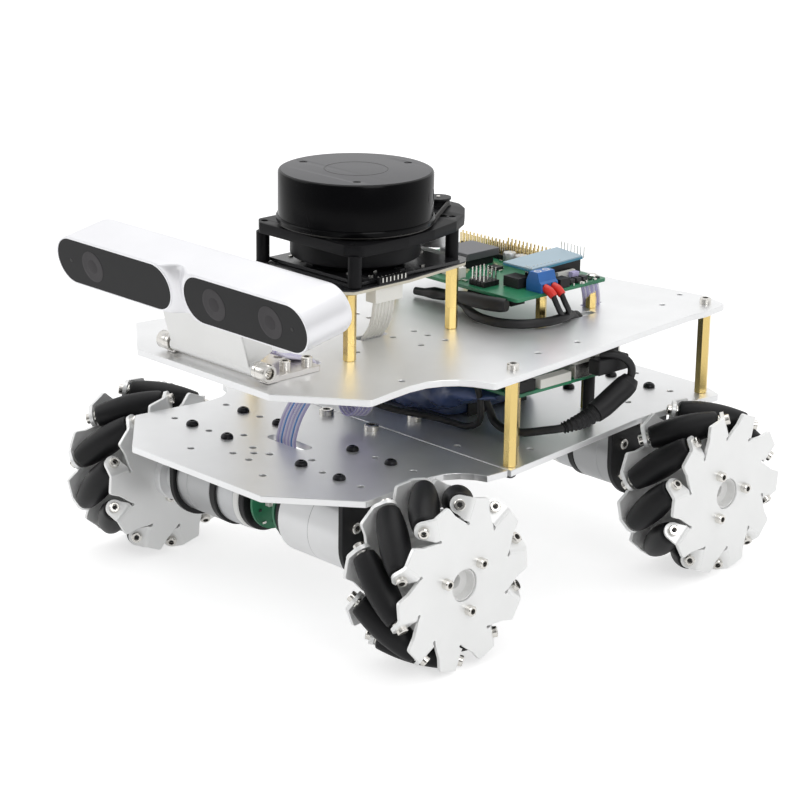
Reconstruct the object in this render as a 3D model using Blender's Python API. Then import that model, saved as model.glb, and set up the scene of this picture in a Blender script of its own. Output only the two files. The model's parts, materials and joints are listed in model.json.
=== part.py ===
"""Four-wheel mecanum robot: two aluminium decks, rocking front axle, lidar, depth camera.

Metres, +Z up, front of the robot towards -Y, robot's left towards +X, floor at z = 0.
"""
import math

import bmesh
import bpy
from mathutils import Matrix, Vector

# Driving dimensions, millimetres
WHEEL_R = 40.0            # rolling radius of the roller envelope
AXLE_Y = 87.7             # half wheelbase
WHEEL_OUT = 115.5         # outer face of the outer wheel plate
WHEEL_W = 35.0            # over both wheel plates
ROLLERS = 10              # per wheel
ROLLER_AXIS_R = 33.0      # nearest distance of a roller axis from the wheel axis
ROLLER_HALF = 16.6        # half length of a roller
ROLLER_BORE = 1.66
PIN_R = 1.5
TAB_AT = 18.3             # tab centre along the roller axis
SHEET = 1.8               # wheel plate thickness
HUB_SCREWS, HUB_SCREW_R, HUB_SCREW_TURN = 3, 12.2, -56.0
HUB_HEAD_R, HUB_HEAD = 2.4, 2.9   # cap screw head on the wheel's outer plate
PHASE = {"fl": 21.8, "rl": 23.0, "fr": 13.0, "rr": 20.0}   # roller angle from the top, degrees
LOWER_TOP = 74.0
UPPER_TOP = 118.8
DECK_T = 3.0
GAP = 0.3                 # running gap between pieces that touch
SEAM_Y = -37.0
STANDOFFS = ((87.4, -32.0), (71.9, 117.8))
MOTOR_Z = 46.5            # motor axis sits above the output shaft
GEARBOX_R, CAN_R = 18.5, 17.2
BRACKET_X, BRACKET_T = 57.0, 3.0
LIDAR_Y, LIDAR_R = -46.0, 35.4
LIDAR_POSTS = ((30.8, -74.8), (23.0, -7.0))
LIDAR_DECK_Z = 149.6
LIDAR_HEAD = (171.6, 196.0)
HINGE = (-129.0, 124.2)   # y, z of the camera tilt hinge
CAM_FACE = (-150.4, 156.2)
CAM_TILT = -11.7
CAM_SIZE = (169.6, 26.0, 22.9)   # width, depth, height
LEAF_HALF, KNUCKLE_HALF = 26.5, 28.2     # half widths of the camera's bracket
BARREL = (28.6, 36.6)     # inner and outer end of the stand's hinge barrels
CENTRE_Y = 11.84           # brings the middle of the overall box to y = 0
ROCK_Z = 61.5             # axis of the front axle's rocking joint

FRONT_HALF = ((44.4, -141.2), (79.5, -112.0), (78.4, -100.0), (76.8, -88.0), (75.2, -78.0),
              (74.7, -70.0), (75.9, -62.0), (79.8, -55.6), (84.8, -51.8), (90.4, -49.6),
              (91.2, SEAM_Y - 0.4))
REAR_HALF = ((92.4, SEAM_Y + 0.4), (86.2, 12.0), (80.6, 55.0), (79.3, 66.0), (79.3, 108.0),
             (81.4, 121.3), (64.2, 129.0))
UPPER_HALF = ((45.0, -136.8), (80.0, -110.2), (77.6, -96.0), (75.8, -83.4), (76.2, -74.0),
              (78.8, -67.0), (83.2, -61.0), (88.6, -57.2), (97.6, -53.6), (93.3, -8.0),
              (87.4, 38.6), (81.3, 95.3), (81.7, 107.6), (79.3, 124.5), (62.0, 129.0),
              (37.0, 124.6), (13.0, 119.6))

MM = 0.001
for old in list(bpy.data.objects):
    bpy.data.objects.remove(old, do_unlink=True)


def material(name, colour, metallic=0.0, rough=0.5):
    mat = bpy.data.materials.new(name)
    mat.use_nodes = True
    shader = mat.node_tree.nodes["Principled BSDF"]
    shader.inputs["Base Color"].default_value = (*colour, 1)
    shader.inputs["Metallic"].default_value = metallic
    shader.inputs["Roughness"].default_value = rough
    return mat


def make(name, verts, faces):
    """A closed mesh object from points in millimetres, its normals turned outwards."""
    mesh = bpy.data.meshes.new(name)
    mesh.from_pydata([[c * MM for c in v] for v in verts], [], faces)
    work = bmesh.new()
    work.from_mesh(mesh)
    bmesh.ops.recalc_face_normals(work, faces=work.faces)
    work.to_mesh(mesh)
    work.free()
    obj = bpy.data.objects.new(name, mesh)
    bpy.context.scene.collection.objects.link(obj)
    return obj


def prism(name, outline, low, high, axis=2):
    """The outline (two coordinates in cyclic order after the axis) extruded along the axis."""
    n = len(outline)
    a, b = (axis + 1) % 3, (axis + 2) % 3
    verts = []
    for level in (low, high):
        for u, v in outline:
            p = [0.0, 0.0, 0.0]
            p[axis], p[a], p[b] = level, u, v
            verts.append(p)
    faces = [list(range(n)), list(range(n, 2 * n))]
    faces += [[i, (i + 1) % n, n + (i + 1) % n, n + i] for i in range(n)]
    return make(name, verts, faces)


def box(name, low, high):
    return prism(name, [(low[0], low[1]), (high[0], low[1]), (high[0], high[1]),
                        (low[0], high[1])], low[2], high[2])


def lathe(name, profile, segments, axis=0, centre=(0, 0, 0), turn=0.0):
    """The (position, radius) profile turned about the axis through the centre. Radius 0 closes."""
    a, b = (axis + 1) % 3, (axis + 2) % 3
    verts, rings = [], []
    for at, radius in profile:
        if radius == 0:
            p = list(centre)
            p[axis] += at
            rings.append([len(verts)] * segments)
            verts.append(p)
            continue
        ring = []
        for k in range(segments):
            angle = 2 * math.pi * k / segments + turn
            p = list(centre)
            p[axis] += at
            p[a] += radius * math.cos(angle)
            p[b] += radius * math.sin(angle)
            ring.append(len(verts))
            verts.append(p)
        rings.append(ring)
    faces = []
    closed = rings[0][0] != rings[0][1]
    pairs = list(zip(rings, rings[1:] + ([rings[0]] if closed else [])))
    for one, two in pairs if closed else pairs:
        if one is two:
            continue
        for k in range(segments):
            face = [one[k], one[(k + 1) % segments], two[(k + 1) % segments], two[k]]
            face = list(dict.fromkeys(face))
            if len(face) > 2:
                faces.append(face)
    return make(name, verts, faces)


def rod(name, low, high, radius, segments=12, axis=0, centre=(0, 0, 0)):
    return lathe(name, [(low, 0), (low, radius), (high, radius), (high, 0)], segments, axis, centre)


def combine(base, others, operation="UNION"):
    """Applies a Boolean with each of the others to the base mesh and removes them."""
    for other in others:
        step = base.modifiers.new("step", "BOOLEAN")
        step.operation, step.solver, step.object = operation, "EXACT", other
        graph = bpy.context.evaluated_depsgraph_get()
        result = bpy.data.meshes.new_from_object(base.evaluated_get(graph))
        base.modifiers.clear()
        base.data = result
        bpy.data.objects.remove(other, do_unlink=True)
    return base


def moved(obj, matrix):
    obj.data.transform(matrix)
    if matrix.determinant() < 0:
        obj.data.flip_normals()
    return obj


def copy_of(obj, name, matrix):
    twin = bpy.data.objects.new(name, obj.data.copy())
    bpy.context.scene.collection.objects.link(twin)
    return moved(twin, matrix)


def finish_node(obj, name, mat, origin=(0, 0, 0)):
    obj.name = obj.data.name = name
    obj.data.materials.clear()
    obj.data.materials.append(mat)
    for face in obj.data.polygons:
        face.material_index = 0
    at = Vector(origin) * MM
    obj.data.transform(Matrix.Translation(-at))
    obj.location = at
    return obj


def mirrored(half):
    return list(half) + [(-x, y) for x, y in reversed(half)]


ALUMINIUM = material("sandblasted_aluminium", (0.78, 0.79, 0.80), 0.9, 0.45)
WHITE_SHEET = material("wheel_sheet", (0.86, 0.87, 0.88), 0.5, 0.4)
RUBBER = material("black_rubber", (0.02, 0.02, 0.02), 0.0, 0.6)
MOTOR = material("motor_steel", (0.70, 0.71, 0.72), 0.8, 0.4)
BLACK_GLOSS = material("black_gloss", (0.01, 0.01, 0.012), 0.0, 0.15)
BLACK_MATTE = material("black_matte", (0.02, 0.02, 0.02), 0.0, 0.5)
GREEN = material("board_green", (0.02, 0.25, 0.12), 0.0, 0.4)
BLUE = material("battery_wrap", (0.05, 0.10, 0.45), 0.0, 0.3)
SILVER = material("camera_silver", (0.82, 0.83, 0.85), 0.7, 0.35)

AXLE_Z = WHEEL_R
MID_X = WHEEL_OUT - WHEEL_W / 2


# Wheel, built about the origin with its axis along X and its outer side towards +X.
# Roller frame: x along the wheel axis, s tangential (with +X turning), h radial.
def to_wheel(x, s, h, angle):
    """Roller frame to wheel frame, for a roller whose middle is at this angle from the top."""
    turn = math.radians(angle)
    y = h * math.sin(turn) - s * math.cos(turn)
    z = h * math.cos(turn) + s * math.sin(turn)
    return x, y, z


def roller_shape():
    stations = [-1.0, -0.5, 0.5, 1.0]
    outer = []
    for u in stations:
        t = u * ROLLER_HALF
        outer.append((t, math.sqrt(WHEEL_R ** 2 - t * t / 2) - ROLLER_AXIS_R))
    outer[0] = (outer[0][0], outer[0][1] - 0.9)
    outer[-1] = (outer[-1][0], outer[-1][1] - 0.9)
    return [(-ROLLER_HALF, ROLLER_BORE)] + outer + [(ROLLER_HALF, ROLLER_BORE)]


def roller_matrix(angle):
    """Places something turned about X onto the roller axis at this angle from the top."""
    d = Vector(to_wheel(1, 1, 0, angle)).normalized()
    h = Vector(to_wheel(0, 0, 1, angle))
    third = d.cross(h)
    base = Matrix((d, h, third)).transposed().to_4x4()
    return Matrix.Translation(h * ROLLER_AXIS_R * MM) @ base


def tab_shape(side, angle):
    """The bent tab that holds a roller pin: a slab square to the roller axis."""
    low, high = TAB_AT - SHEET / 2, TAB_AT + SHEET / 2
    across = [(-5.3, -5.3), (2.8, -5.3), (4.8, -3.0), (4.6, 0.6), (2.4, 2.6), (-5.3, 4.4)]
    verts = []
    for level in (low, high):
        for u, v in across:
            x = (level - u) * math.sqrt(0.5) * side
            s = (level + u) * math.sqrt(0.5) * side
            verts.append(to_wheel(x, s, ROLLER_AXIS_R + v, angle))
    n = len(across)
    faces = [list(range(n)), list(range(n, 2 * n))]
    faces += [[i, (i + 1) % n, n + (i + 1) % n, n + i] for i in range(n)]
    return make("tab", verts, faces)


def plate_shape(side):
    """One wheel plate's flat part, its edge stepped round between the tabs."""
    outline = []
    for k in range(ROLLERS):
        angle = k * 360 / ROLLERS
        steps = ((10.3, 37.1), (0.8, 38.6), (-1.9, 33.0), (-8.2, 26.4))
        for s, h in steps:
            _, y, z = to_wheel(0, s * side, h, angle * side)
            outline.append((y, z))
        _, y, z = to_wheel(0, 10.3 * side, 26.9, (angle + 360 / ROLLERS) * side)
        outline.append((y, z))
    face = WHEEL_W / 2
    low, high = sorted((side * face, side * (face - SHEET)))
    return prism("plate", outline, low, high, 0)


def hub_shape():
    plate = plate_shape(1)
    half = WHEEL_W / 2
    parts = [plate_shape(-1)]
    spool = [(-half + 0.6, 0), (-half + 0.6, 11.5), (-half + 5, 11.5), (-half + 5, 9.0),
             (half - 5, 9.0), (half - 5, 11.5), (half - 0.6, 11.5), (half - 0.6, 0)]
    parts.append(lathe("spool", spool, 14))
    inner = -half - (MID_X - half - BRACKET_X - BRACKET_T) + 1.6
    parts.append(rod("coupler", inner, -half + 1.0, 8.6, 16))
    parts.append(rod("shaft", inner - 12.0, inner + 1.0, 3.0, 12))
    for k in range(HUB_SCREWS):
        turn = math.radians(HUB_SCREW_TURN + 360 / HUB_SCREWS * k)
        at = (0, HUB_SCREW_R * math.cos(turn), HUB_SCREW_R * math.sin(turn))
        parts.append(rod("cap_screw", half - SHEET / 2, half + HUB_HEAD, HUB_HEAD_R, 8, 0, at))
    for k in range(ROLLERS):
        angle = k * 360 / ROLLERS
        for side in (1, -1):
            parts.append(tab_shape(side, angle))
        pin = rod("pin", -TAB_AT - 1.4, TAB_AT + 1.4, PIN_R, 6)
        parts.append(moved(pin, roller_matrix(angle)))
    return combine(plate, parts)


def wheel_place(corner):
    """Front left as built; the others mirrored across X, Y or both."""
    flip_x = -1 if corner[1] == "r" else 1
    flip_y = -1 if corner[0] == "r" else 1
    spin = Matrix.Rotation(math.radians(-PHASE[corner]), 4, "X")
    to_place = Matrix.Translation(Vector((MID_X, -AXLE_Y, AXLE_Z)) * MM)
    flip = Matrix.Diagonal((flip_x, flip_y, 1, 1))
    return flip @ to_place @ spin


hub = hub_shape()
roller = lathe("roller", roller_shape(), 9)
for corner in ("fl", "fr", "rl", "rr"):
    place = wheel_place(corner)
    centre = place @ Vector((0, 0, 0)) / MM
    finish_node(copy_of(hub, "hub_copy", place), f"wheel_hub_{corner}", WHITE_SHEET, centre)
    for k in range(ROLLERS):
        full = place @ roller_matrix(k * 360 / ROLLERS)
        middle = full @ Vector((0, 0, 0)) / MM
        finish_node(copy_of(roller, "roller_copy", full), f"roller_{corner}_{k + 1:02d}",
                    RUBBER, middle)
bpy.data.objects.remove(hub, do_unlink=True)
bpy.data.objects.remove(roller, do_unlink=True)


# Gear motor with its L bracket, built for the front left corner.
def motor_shape():
    y, z = -AXLE_Y, MOTOR_Z
    body = lathe("motor", [(11, 0), (11, 16.2), (14, 16.2), (14, CAN_R), (33, CAN_R),
                           (33, GEARBOX_R), (BRACKET_X + 0.5, GEARBOX_R), (BRACKET_X + 0.5, 0)],
                 24, 0, (0, y, z))
    top = LOWER_TOP - DECK_T - GAP
    plate = [(y - 20, top), (y - 20, z), (y - 18.4, z - 9.2), (y - 14.2, z - 15.6),
             (y - 8, z - 19.6), (y, z - 21), (y + 8, z - 19.6), (y + 14.2, z - 15.6),
             (y + 18.4, z - 9.2), (y + 20, z), (y + 20, top)]
    bracket = prism("bracket", plate, BRACKET_X, BRACKET_X + BRACKET_T, 0)
    flange = box("flange", (20.5, y - 19.6, top - 3), (BRACKET_X + 1, y + 19.6, top - 0.02))
    boss = rod("boss", BRACKET_X + 1, BRACKET_X + BRACKET_T + 1.2, 6.0, 20, 0, (0, y, AXLE_Z))
    encoder = rod("encoder", 6.6, 11.5, 14.6, 20, 0, (0, y, z))
    plug = box("plug", (3.0, y - 6, z + 2), (8.5, y + 6, z + 12))
    combine(body, [bracket, flange, boss, encoder, plug])
    bore = rod("bore", BRACKET_X - 9.5, BRACKET_X + 9, 3.14, 16, 0, (0, y, AXLE_Z))
    return combine(body, [bore], "DIFFERENCE")


motor = motor_shape()
for corner, sx, sy in (("fl", 1, 1), ("fr", -1, 1), ("rl", 1, -1), ("rr", -1, -1)):
    twin = copy_of(motor, "motor_copy", Matrix.Diagonal((sx, sy, 1, 1)))
    finish_node(twin, f"gear_motor_{corner}", MOTOR)
bpy.data.objects.remove(motor, do_unlink=True)

# Decks
bottom = LOWER_TOP - DECK_T
front = prism("front", mirrored(FRONT_HALF), bottom, LOWER_TOP)
front_block = box("block", (-22, -57, ROCK_Z - 7.5), (22, -41.5, bottom + 0.6))
combine(front, [front_block])
combine(front, [rod("bore", -60, -38, 4.12, 20, 1, (0, 0, ROCK_Z))], "DIFFERENCE")
finish_node(front, "front_lower_plate", ALUMINIUM, (0, -49, ROCK_Z))

rear = prism("rear", mirrored(REAR_HALF), bottom, LOWER_TOP)
parts = [box("block", (-22, -32.5, ROCK_Z - 7.5), (22, -17, bottom + 0.6)),
         rod("spindle", -58.5, -24, 4.0, 20, 1, (0, 0, ROCK_Z))]
for x, y in STANDOFFS:
    for side in (1, -1):
        parts.append(rod("standoff", LOWER_TOP - 0.6, UPPER_TOP - DECK_T - GAP, 3.1, 6, 2,
                         (side * x, y, 0)))
finish_node(combine(rear, parts), "rear_lower_plate", ALUMINIUM)

upper = prism("upper", mirrored(UPPER_HALF), UPPER_TOP - DECK_T, UPPER_TOP)
slot = box("slot", (4.0, -52.0, UPPER_TOP - 9), (12.0, -34.0, UPPER_TOP + 9))
finish_node(combine(upper, [slot], "DIFFERENCE"), "upper_plate", ALUMINIUM)

# Lidar: deck on standoffs, base with belt drive, turning head
deck_outline = mirrored(((31, -81.5), (34.5, -78), (34.5, -45), (29, -4), (24, 1.5)))
deck = prism("deck", deck_outline, LIDAR_DECK_Z, LIDAR_DECK_Z + 2)
legs = [rod("leg", UPPER_TOP + GAP, LIDAR_DECK_Z + 0.8, 2.9, 6, 2, (side * x, y, 0))
        for x, y in ((30.5, -77.2), (22.6, -6.0)) for side in (1, -1)]
finish_node(combine(deck, legs), "lidar_deck", ALUMINIUM)

frame_z = (166.0, 171.0)
base_outline = mirrored(((28.5, -79.2), (35.0, -74.0), (35.2, -46.0), (33.0, -28.0),
                         (28.0, -9.0), (20.8, 3.2), (11.4, 13.0), (3.0, 17.8)))
base = prism("base", base_outline, frame_z[0], frame_z[1])
deck_top = LIDAR_DECK_Z + 2 + GAP
parts = [box("pcb", (-31, -72, deck_top), (31, -9, deck_top + 2.2)),
         lathe("cup", [(deck_top + 1.5, 0), (deck_top + 1.5, 22), (155.5, 24), (157.4, 29.6),
                       (frame_z[0] + 1, 29.6), (frame_z[0] + 1, 0)], 24, 2, (0, LIDAR_Y, 0)),
         rod("motor", deck_top + 1, frame_z[0] + 1, 8, 14, 2, (0, 4.0, 0)),
         rod("pulley", frame_z[0] + 1, 176.0, 4.6, 14, 2, (0, 6.5, 0))]
parts += [rod("post", deck_top, frame_z[0] + 1, 2.9, 10, 2, (side * x, y, 0))
          for x, y in LIDAR_POSTS for side in (1, -1)]
parts.append(box("shelf", (-9, -14, deck_top), (9, 10, deck_top + 2.0)))
combine(base, parts)
collar = lathe("collar", [(deck_top + 6, 0), (deck_top + 6, 6.1), (frame_z[1] + 2, 6.1),
                          (frame_z[1] + 2, 0)], 20, 2, (0, LIDAR_Y, 0))
combine(base, [collar], "DIFFERENCE")
finish_node(base, "lidar_base", BLACK_MATTE)

low, high = LIDAR_HEAD
head = lathe("head", [(deck_top + 7, 0), (deck_top + 7, 6.0), (low, 6.0), (low, 35.2),
                      (low + 3.2, 36.2), (low + 4.2, 35.4), (high - 0.8, LIDAR_R),
                      (high, LIDAR_R - 0.8), (high, 0)], 36, 2, (0, LIDAR_Y, 0))
finish_node(head, "lidar_head", BLACK_GLOSS, (0, LIDAR_Y, high))

# Depth camera on its tilting stand
hy, hz = HINGE
plate_low = UPPER_TOP + GAP
stand = box("stand", (-34, -124.4, plate_low), (34, -97, plate_low + 2.4))
inner, outer = BARREL
parts = []
for s in (1, -1):
    low, high = sorted((s * inner, s * outer))
    parts += [box("ear", (low + 0.2, hy - 3.4, plate_low + 0.05), (high - 0.2, -123, hz)),
              rod("barrel", low, high, 4.0, 16, 0, (0, hy, hz))]
parts.append(rod("pin", 0.6 - outer, outer - 0.6, 1.5, 12, 0, (0, hy, hz)))
finish_node(combine(stand, parts), "camera_stand", SILVER)

tilt = math.radians(CAM_TILT)
up = Vector((0, math.sin(tilt), math.cos(tilt)))
back = Vector((0, math.cos(tilt), -math.sin(tilt)))
face_at = Vector((0, CAM_FACE[0], CAM_FACE[1]))
width, depth, height = CAM_SIZE


def stadium(w, h, steps=8):
    r = h / 2
    right = [(w / 2 - r + r * math.cos(a), r * math.sin(a))
             for a in [-math.pi / 2 + math.pi * k / steps for k in range(steps + 1)]]
    return right + [(-x, -z) for x, z in right]


def camera_body():
    outline = stadium(width, height)
    grow = ((0.0, 0.985), (1.2, 1.0), (depth - 3.0, 1.0), (depth, 0.93))
    verts, n = [], len(outline)
    for at, scale in grow:
        for x, z in outline:
            verts.append(face_at + back * at + Vector((x - (1 - scale) * x * 0.3, 0, 0))
                         + up * z * scale)
    faces = [list(range(n)), list(range(3 * n, 4 * n))]
    for level in range(3):
        a, b = level * n, (level + 1) * n
        faces += [[a + i, a + (i + 1) % n, b + (i + 1) % n, b + i] for i in range(n)]
    return make("camera", verts, faces)


camera = camera_body()
under = face_at + back * 13 - up * (height / 2 - 1.5)
leaf_dir = (Vector((0, hy, hz)) - under).normalized()
leaf_side = Vector((0, -leaf_dir.z, leaf_dir.y))
corners = [under - leaf_side * 1.6, under + leaf_side * 1.6,
           Vector((0, hy, hz)) + leaf_side * 1.6 - leaf_dir * 2.6,
           Vector((0, hy, hz)) - leaf_side * 1.6 - leaf_dir * 2.6]
leaf = prism("leaf", [(c.y, c.z) for c in corners], -LEAF_HALF, LEAF_HALF, 0)
knuckle = rod("knuckle", -KNUCKLE_HALF, KNUCKLE_HALF, 4.0, 16, 0, (0, hy, hz))
neck = prism("neck", [(c.y, c.z) for c in (
    under - back * 6 + up * 1.0, under + back * 12 + up * 1.0, under + back * 7 - up * 4,
    under - back * 3 - up * 4)], -20, 20, 0)
combine(camera, [neck, leaf, knuckle])
combine(camera, [rod("bore", -KNUCKLE_HALF - 2, KNUCKLE_HALF + 2, 1.64, 12, 0, (0, hy, hz))], "DIFFERENCE")
finish_node(camera, "depth_camera", SILVER, (0, hy, hz))

# Electronics
top = UPPER_TOP + GAP
board = box("board", (-46, 13, 132.2), (46.5, 74.5, 133.8))
parts = [rod("foot", top, 132.8, 2.6, 6, 2, (x, y, 0)) for x in (-41, 41) for y in (18, 69.5)]
parts += [box("raised", (8, 30, 133), (38.5, 73, 143.8)),
          box("terminal", (35, 16, 133), (45.5, 27.5, 143.5)),
          box("header", (12, 14.5, 133), (26, 29, 139)),
          box("chips", (-40, 20, 133), (2, 66, 139))]
finish_node(combine(board, parts), "controller_board", GREEN)

battery = box("battery", (-45, -9, LOWER_TOP + GAP), (25, 56, 95.5))
bevel = battery.modifiers.new("round", "BEVEL")
bevel.width, bevel.segments = 6 * MM, 2
finish_node(battery, "battery_pack", BLUE)

low = LOWER_TOP + GAP
board = box("board", (-40, -16, 98.4), (74, 62, 100.0))
parts = [rod("foot", low, 99, 2.6, 6, 2, (x, y, 0))
         for x, y in ((69.5, -11.5), (69.5, 57), (-52, -11.5), (-52, 57))]
parts += [box("ear", (-56, y - 4, 98.5), (-38, y + 4, 99.9)) for y in (-11.5, 57)]
parts += [box("sockets", (52, 20, 99), (76.5, 60, 113)),
          box("plug", (60, -6, 99), (74.5, 14, 107)),
          box("cooler", (-20, 2, 99), (28, 46, 111))]
finish_node(combine(board, parts), "computer_board", GREEN)

CABLE = ((79.4, 34, 110.6, 1.9), (83.6, 38.5, 111.2, 1.9), (87.2, 43.5, 108.6, 1.9),
         (88.8, 46, 104, 1.9), (88.4, 45, 98.8, 2.6), (87.4, 40.5, 94.8, 5.0), (86, 30.8, 88.6, 5.2),
         (85.2, 24.4, 86.0, 4.8), (84.6, 18, 84.2, 3.8), (84.0, 11, 83.0, 2.8), (83.0, 5, 81.4, 1.9),
         (77.0, 4.4, 80.0, 1.9), (69.0, 3.0, 78.6, 1.9), (60.0, -2.6, 78.6, 1.9),
         (52.0, -7.4, 79.4, 1.9), (40.0, -13.0, 80.0, 1.9), (24, -15.5, 79.0, 1.9),
         (10, -15.5, 79.5, 1.9), (2, -11.6, 83, 1.9))


def cable(name, route):
    data = bpy.data.curves.new(name, "CURVE")
    data.dimensions, data.bevel_depth, data.bevel_resolution = "3D", 1.0 * MM, 2
    data.use_fill_caps = True
    spline = data.splines.new("POLY")
    spline.points.add(len(route) - 1)
    for point, (x, y, z, r) in zip(spline.points, route):
        point.co, point.radius = (x * MM, y * MM, z * MM, 1), r
    obj = bpy.data.objects.new(name, data)
    bpy.context.scene.collection.objects.link(obj)
    data.materials.append(BLACK_MATTE)
    return obj


cable("power_cable", CABLE)

for obj in bpy.context.scene.collection.objects:
    obj.location.y += CENTRE_Y * MM
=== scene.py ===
"""Looks of a mecanum wheel robot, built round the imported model.

Shapes are written in millimetres in the robot's own frame: front towards -Y, robot's left towards
+X, floor at z = 0. Each piece is one mesh that rides on the body that it belongs to.
"""
import json
import math
import random

import bmesh
import bpy
from mathutils import Matrix, Vector


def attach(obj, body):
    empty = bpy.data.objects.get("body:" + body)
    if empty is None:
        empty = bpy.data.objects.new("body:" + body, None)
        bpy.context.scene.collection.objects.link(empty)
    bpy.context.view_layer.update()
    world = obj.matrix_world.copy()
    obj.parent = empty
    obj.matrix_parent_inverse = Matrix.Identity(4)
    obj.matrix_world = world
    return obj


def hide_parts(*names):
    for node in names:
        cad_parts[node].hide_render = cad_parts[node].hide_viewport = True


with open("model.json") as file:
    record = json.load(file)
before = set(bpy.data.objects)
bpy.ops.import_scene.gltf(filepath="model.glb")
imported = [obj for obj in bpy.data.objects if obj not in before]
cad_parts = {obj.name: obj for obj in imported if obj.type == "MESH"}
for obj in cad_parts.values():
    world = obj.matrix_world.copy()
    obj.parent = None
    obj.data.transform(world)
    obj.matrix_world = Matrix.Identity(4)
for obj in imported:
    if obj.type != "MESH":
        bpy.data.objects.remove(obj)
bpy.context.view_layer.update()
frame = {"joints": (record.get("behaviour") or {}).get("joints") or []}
MM = 0.001
JOINTS = {joint["child"]: joint for joint in frame["joints"]}
CORNERS = ("fl", "fr", "rl", "rr")

# Sizes shared by several pieces, millimetres, as in the frame's solids
WHEEL_R, WHEEL_W, SHEET, ROLLERS = 40.0, 35.0, 1.8, 10
ROLLER_AXIS_R, ROLLER_HALF, TAB_AT = 33.0, 16.6, 18.3
HUB_SCREW_RING, HUB_SCREW_TURN = 12.2, {"fl": -56, "rl": -39, "fr": 25, "rr": 70}   # degrees
LOWER_TOP, UPPER_TOP, DECK_T = 74.0, 118.8, 3.0
MOTOR_Z, GEARBOX_R, CAN_R, BRACKET_X = 46.5, 18.5, 17.2, 57.0
AXLE_Y, PIVOT_Z = 87.7, 61.5
WHEEL_X = 98.0            # middle plane of the wheels
SEAM_Y = -37.0            # gap between the front and rear lower decks
LIDAR_Y, PULLEY_Y = -46.0, 6.5
LIDAR_DECK_Z = 149.6
CONTROLLER_TOP, COMPUTER_TOP = 133.8, 100.0
DY = JOINTS["lidar_rotor"]["pos_m"][1] / MM - LIDAR_Y   # design frame to the shared frame
CAM_FACE, CAM_TILT = (-150.4, 156.2), math.radians(-11.7)
HINGE, LEAF_HALF = (-129.0, 124.2), 26.5
WINDOWS, WINDOW_R = ((-84.1, -4.0), (5.3, 84.1)), 10.74


# Materials -----------------------------------------------------------------------------------
def grained(name, colour, metallic, rough, grain=0.0, grain_scale=2500.0, blotch=0.06,
            rough_spread=0.08, coat=0.0, shine=0.5):
    """A Principled material with colour and roughness that drift, and a fine grain in its bump."""
    mat = bpy.data.materials.new(name)
    mat.use_nodes = True
    nodes, links = mat.node_tree.nodes, mat.node_tree.links
    shader = nodes["Principled BSDF"]
    shader.inputs["Metallic"].default_value = metallic
    shader.inputs["Coat Weight"].default_value = coat
    shader.inputs["Coat Roughness"].default_value = 0.08
    shader.inputs["Specular IOR Level"].default_value = shine
    where = nodes.new("ShaderNodeTexCoord")
    drift = nodes.new("ShaderNodeTexNoise")
    drift.inputs["Scale"].default_value = 45.0
    drift.inputs["Detail"].default_value = 4.0
    links.new(where.outputs["Object"], drift.inputs["Vector"])
    ramp = nodes.new("ShaderNodeValToRGB")
    low = [max(0.0, c * (1 - blotch)) for c in colour]
    high = [min(1.0, c * (1 + blotch)) for c in colour]
    ramp.color_ramp.elements[0].position, ramp.color_ramp.elements[0].color = 0.3, (*low, 1)
    ramp.color_ramp.elements[1].position, ramp.color_ramp.elements[1].color = 0.7, (*high, 1)
    links.new(drift.outputs["Fac"], ramp.inputs["Fac"])
    links.new(ramp.outputs["Color"], shader.inputs["Base Color"])
    spread = nodes.new("ShaderNodeMapRange")
    spread.inputs["To Min"].default_value = max(0.02, rough - rough_spread)
    spread.inputs["To Max"].default_value = min(1.0, rough + rough_spread)
    links.new(drift.outputs["Fac"], spread.inputs["Value"])
    links.new(spread.outputs["Result"], shader.inputs["Roughness"])
    if grain:
        fine = nodes.new("ShaderNodeTexNoise")
        fine.inputs["Scale"].default_value = grain_scale
        fine.inputs["Detail"].default_value = 2.0
        links.new(where.outputs["Object"], fine.inputs["Vector"])
        bump = nodes.new("ShaderNodeBump")
        bump.inputs["Strength"].default_value = grain
        bump.inputs["Distance"].default_value = 0.0001
        links.new(fine.outputs["Fac"], bump.inputs["Height"])
        links.new(bump.outputs["Normal"], shader.inputs["Normal"])
    return mat


DECK = grained("deck_sandblasted", (0.90, 0.905, 0.91), 0.80, 0.36, 0.25, 2600, 0.025, 0.04)
WHEEL_SHEET = grained("wheel_sheet_satin", (0.90, 0.905, 0.90), 0.35, 0.34, 0.1, 1800, 0.02, 0.05)
RUBBER = grained("roller_rubber", (0.011, 0.011, 0.012), 0.0, 0.45, 0.3, 1500, 0.25, 0.07, 0.0, 0.22)
CORE = grained("roller_core_black", (0.010, 0.010, 0.010), 0.0, 0.35, 0.1, 1500, 0.2, 0.08, 0.0, 0.25)
NICKEL = grained("nickel_screw", (0.78, 0.76, 0.72), 1.0, 0.22, 0.08, 2500, 0.06, 0.06)
# Near-black: the own colour of the coupling set screws, and painted shade at the floor of every screw socket
# and inside the small deck holes.
BLACK_AND_PAINTED_SHADE = grained("black_and_painted_shade", (0.03, 0.03, 0.03), 0.4, 0.5, 0.0)
BLACK_SCREW = grained("black_oxide_screw", (0.015, 0.015, 0.018), 0.6, 0.34, 0.1, 2000, 0.2)
BRASS = grained("brass_hex", (0.83, 0.63, 0.25), 1.0, 0.27, 0.12, 900, 0.05, 0.05)
MOTOR_SILVER = grained("motor_satin_nickel", (0.84, 0.845, 0.85), 0.45, 0.34, 0.15, 1400, 0.03)
GEAR_STEEL = grained("gearbox_bright_steel", (0.44, 0.445, 0.45), 0.8, 0.32, 0.15, 1400, 0.03)
CAN_SILVER = grained("can_satin_zinc", (0.58, 0.59, 0.60), 0.75, 0.40, 0.15, 900, 0.05)
WHITE_CAP = grained("motor_white_cap", (0.82, 0.82, 0.80), 0.0, 0.45, 0.1, 900, 0.03)
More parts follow.
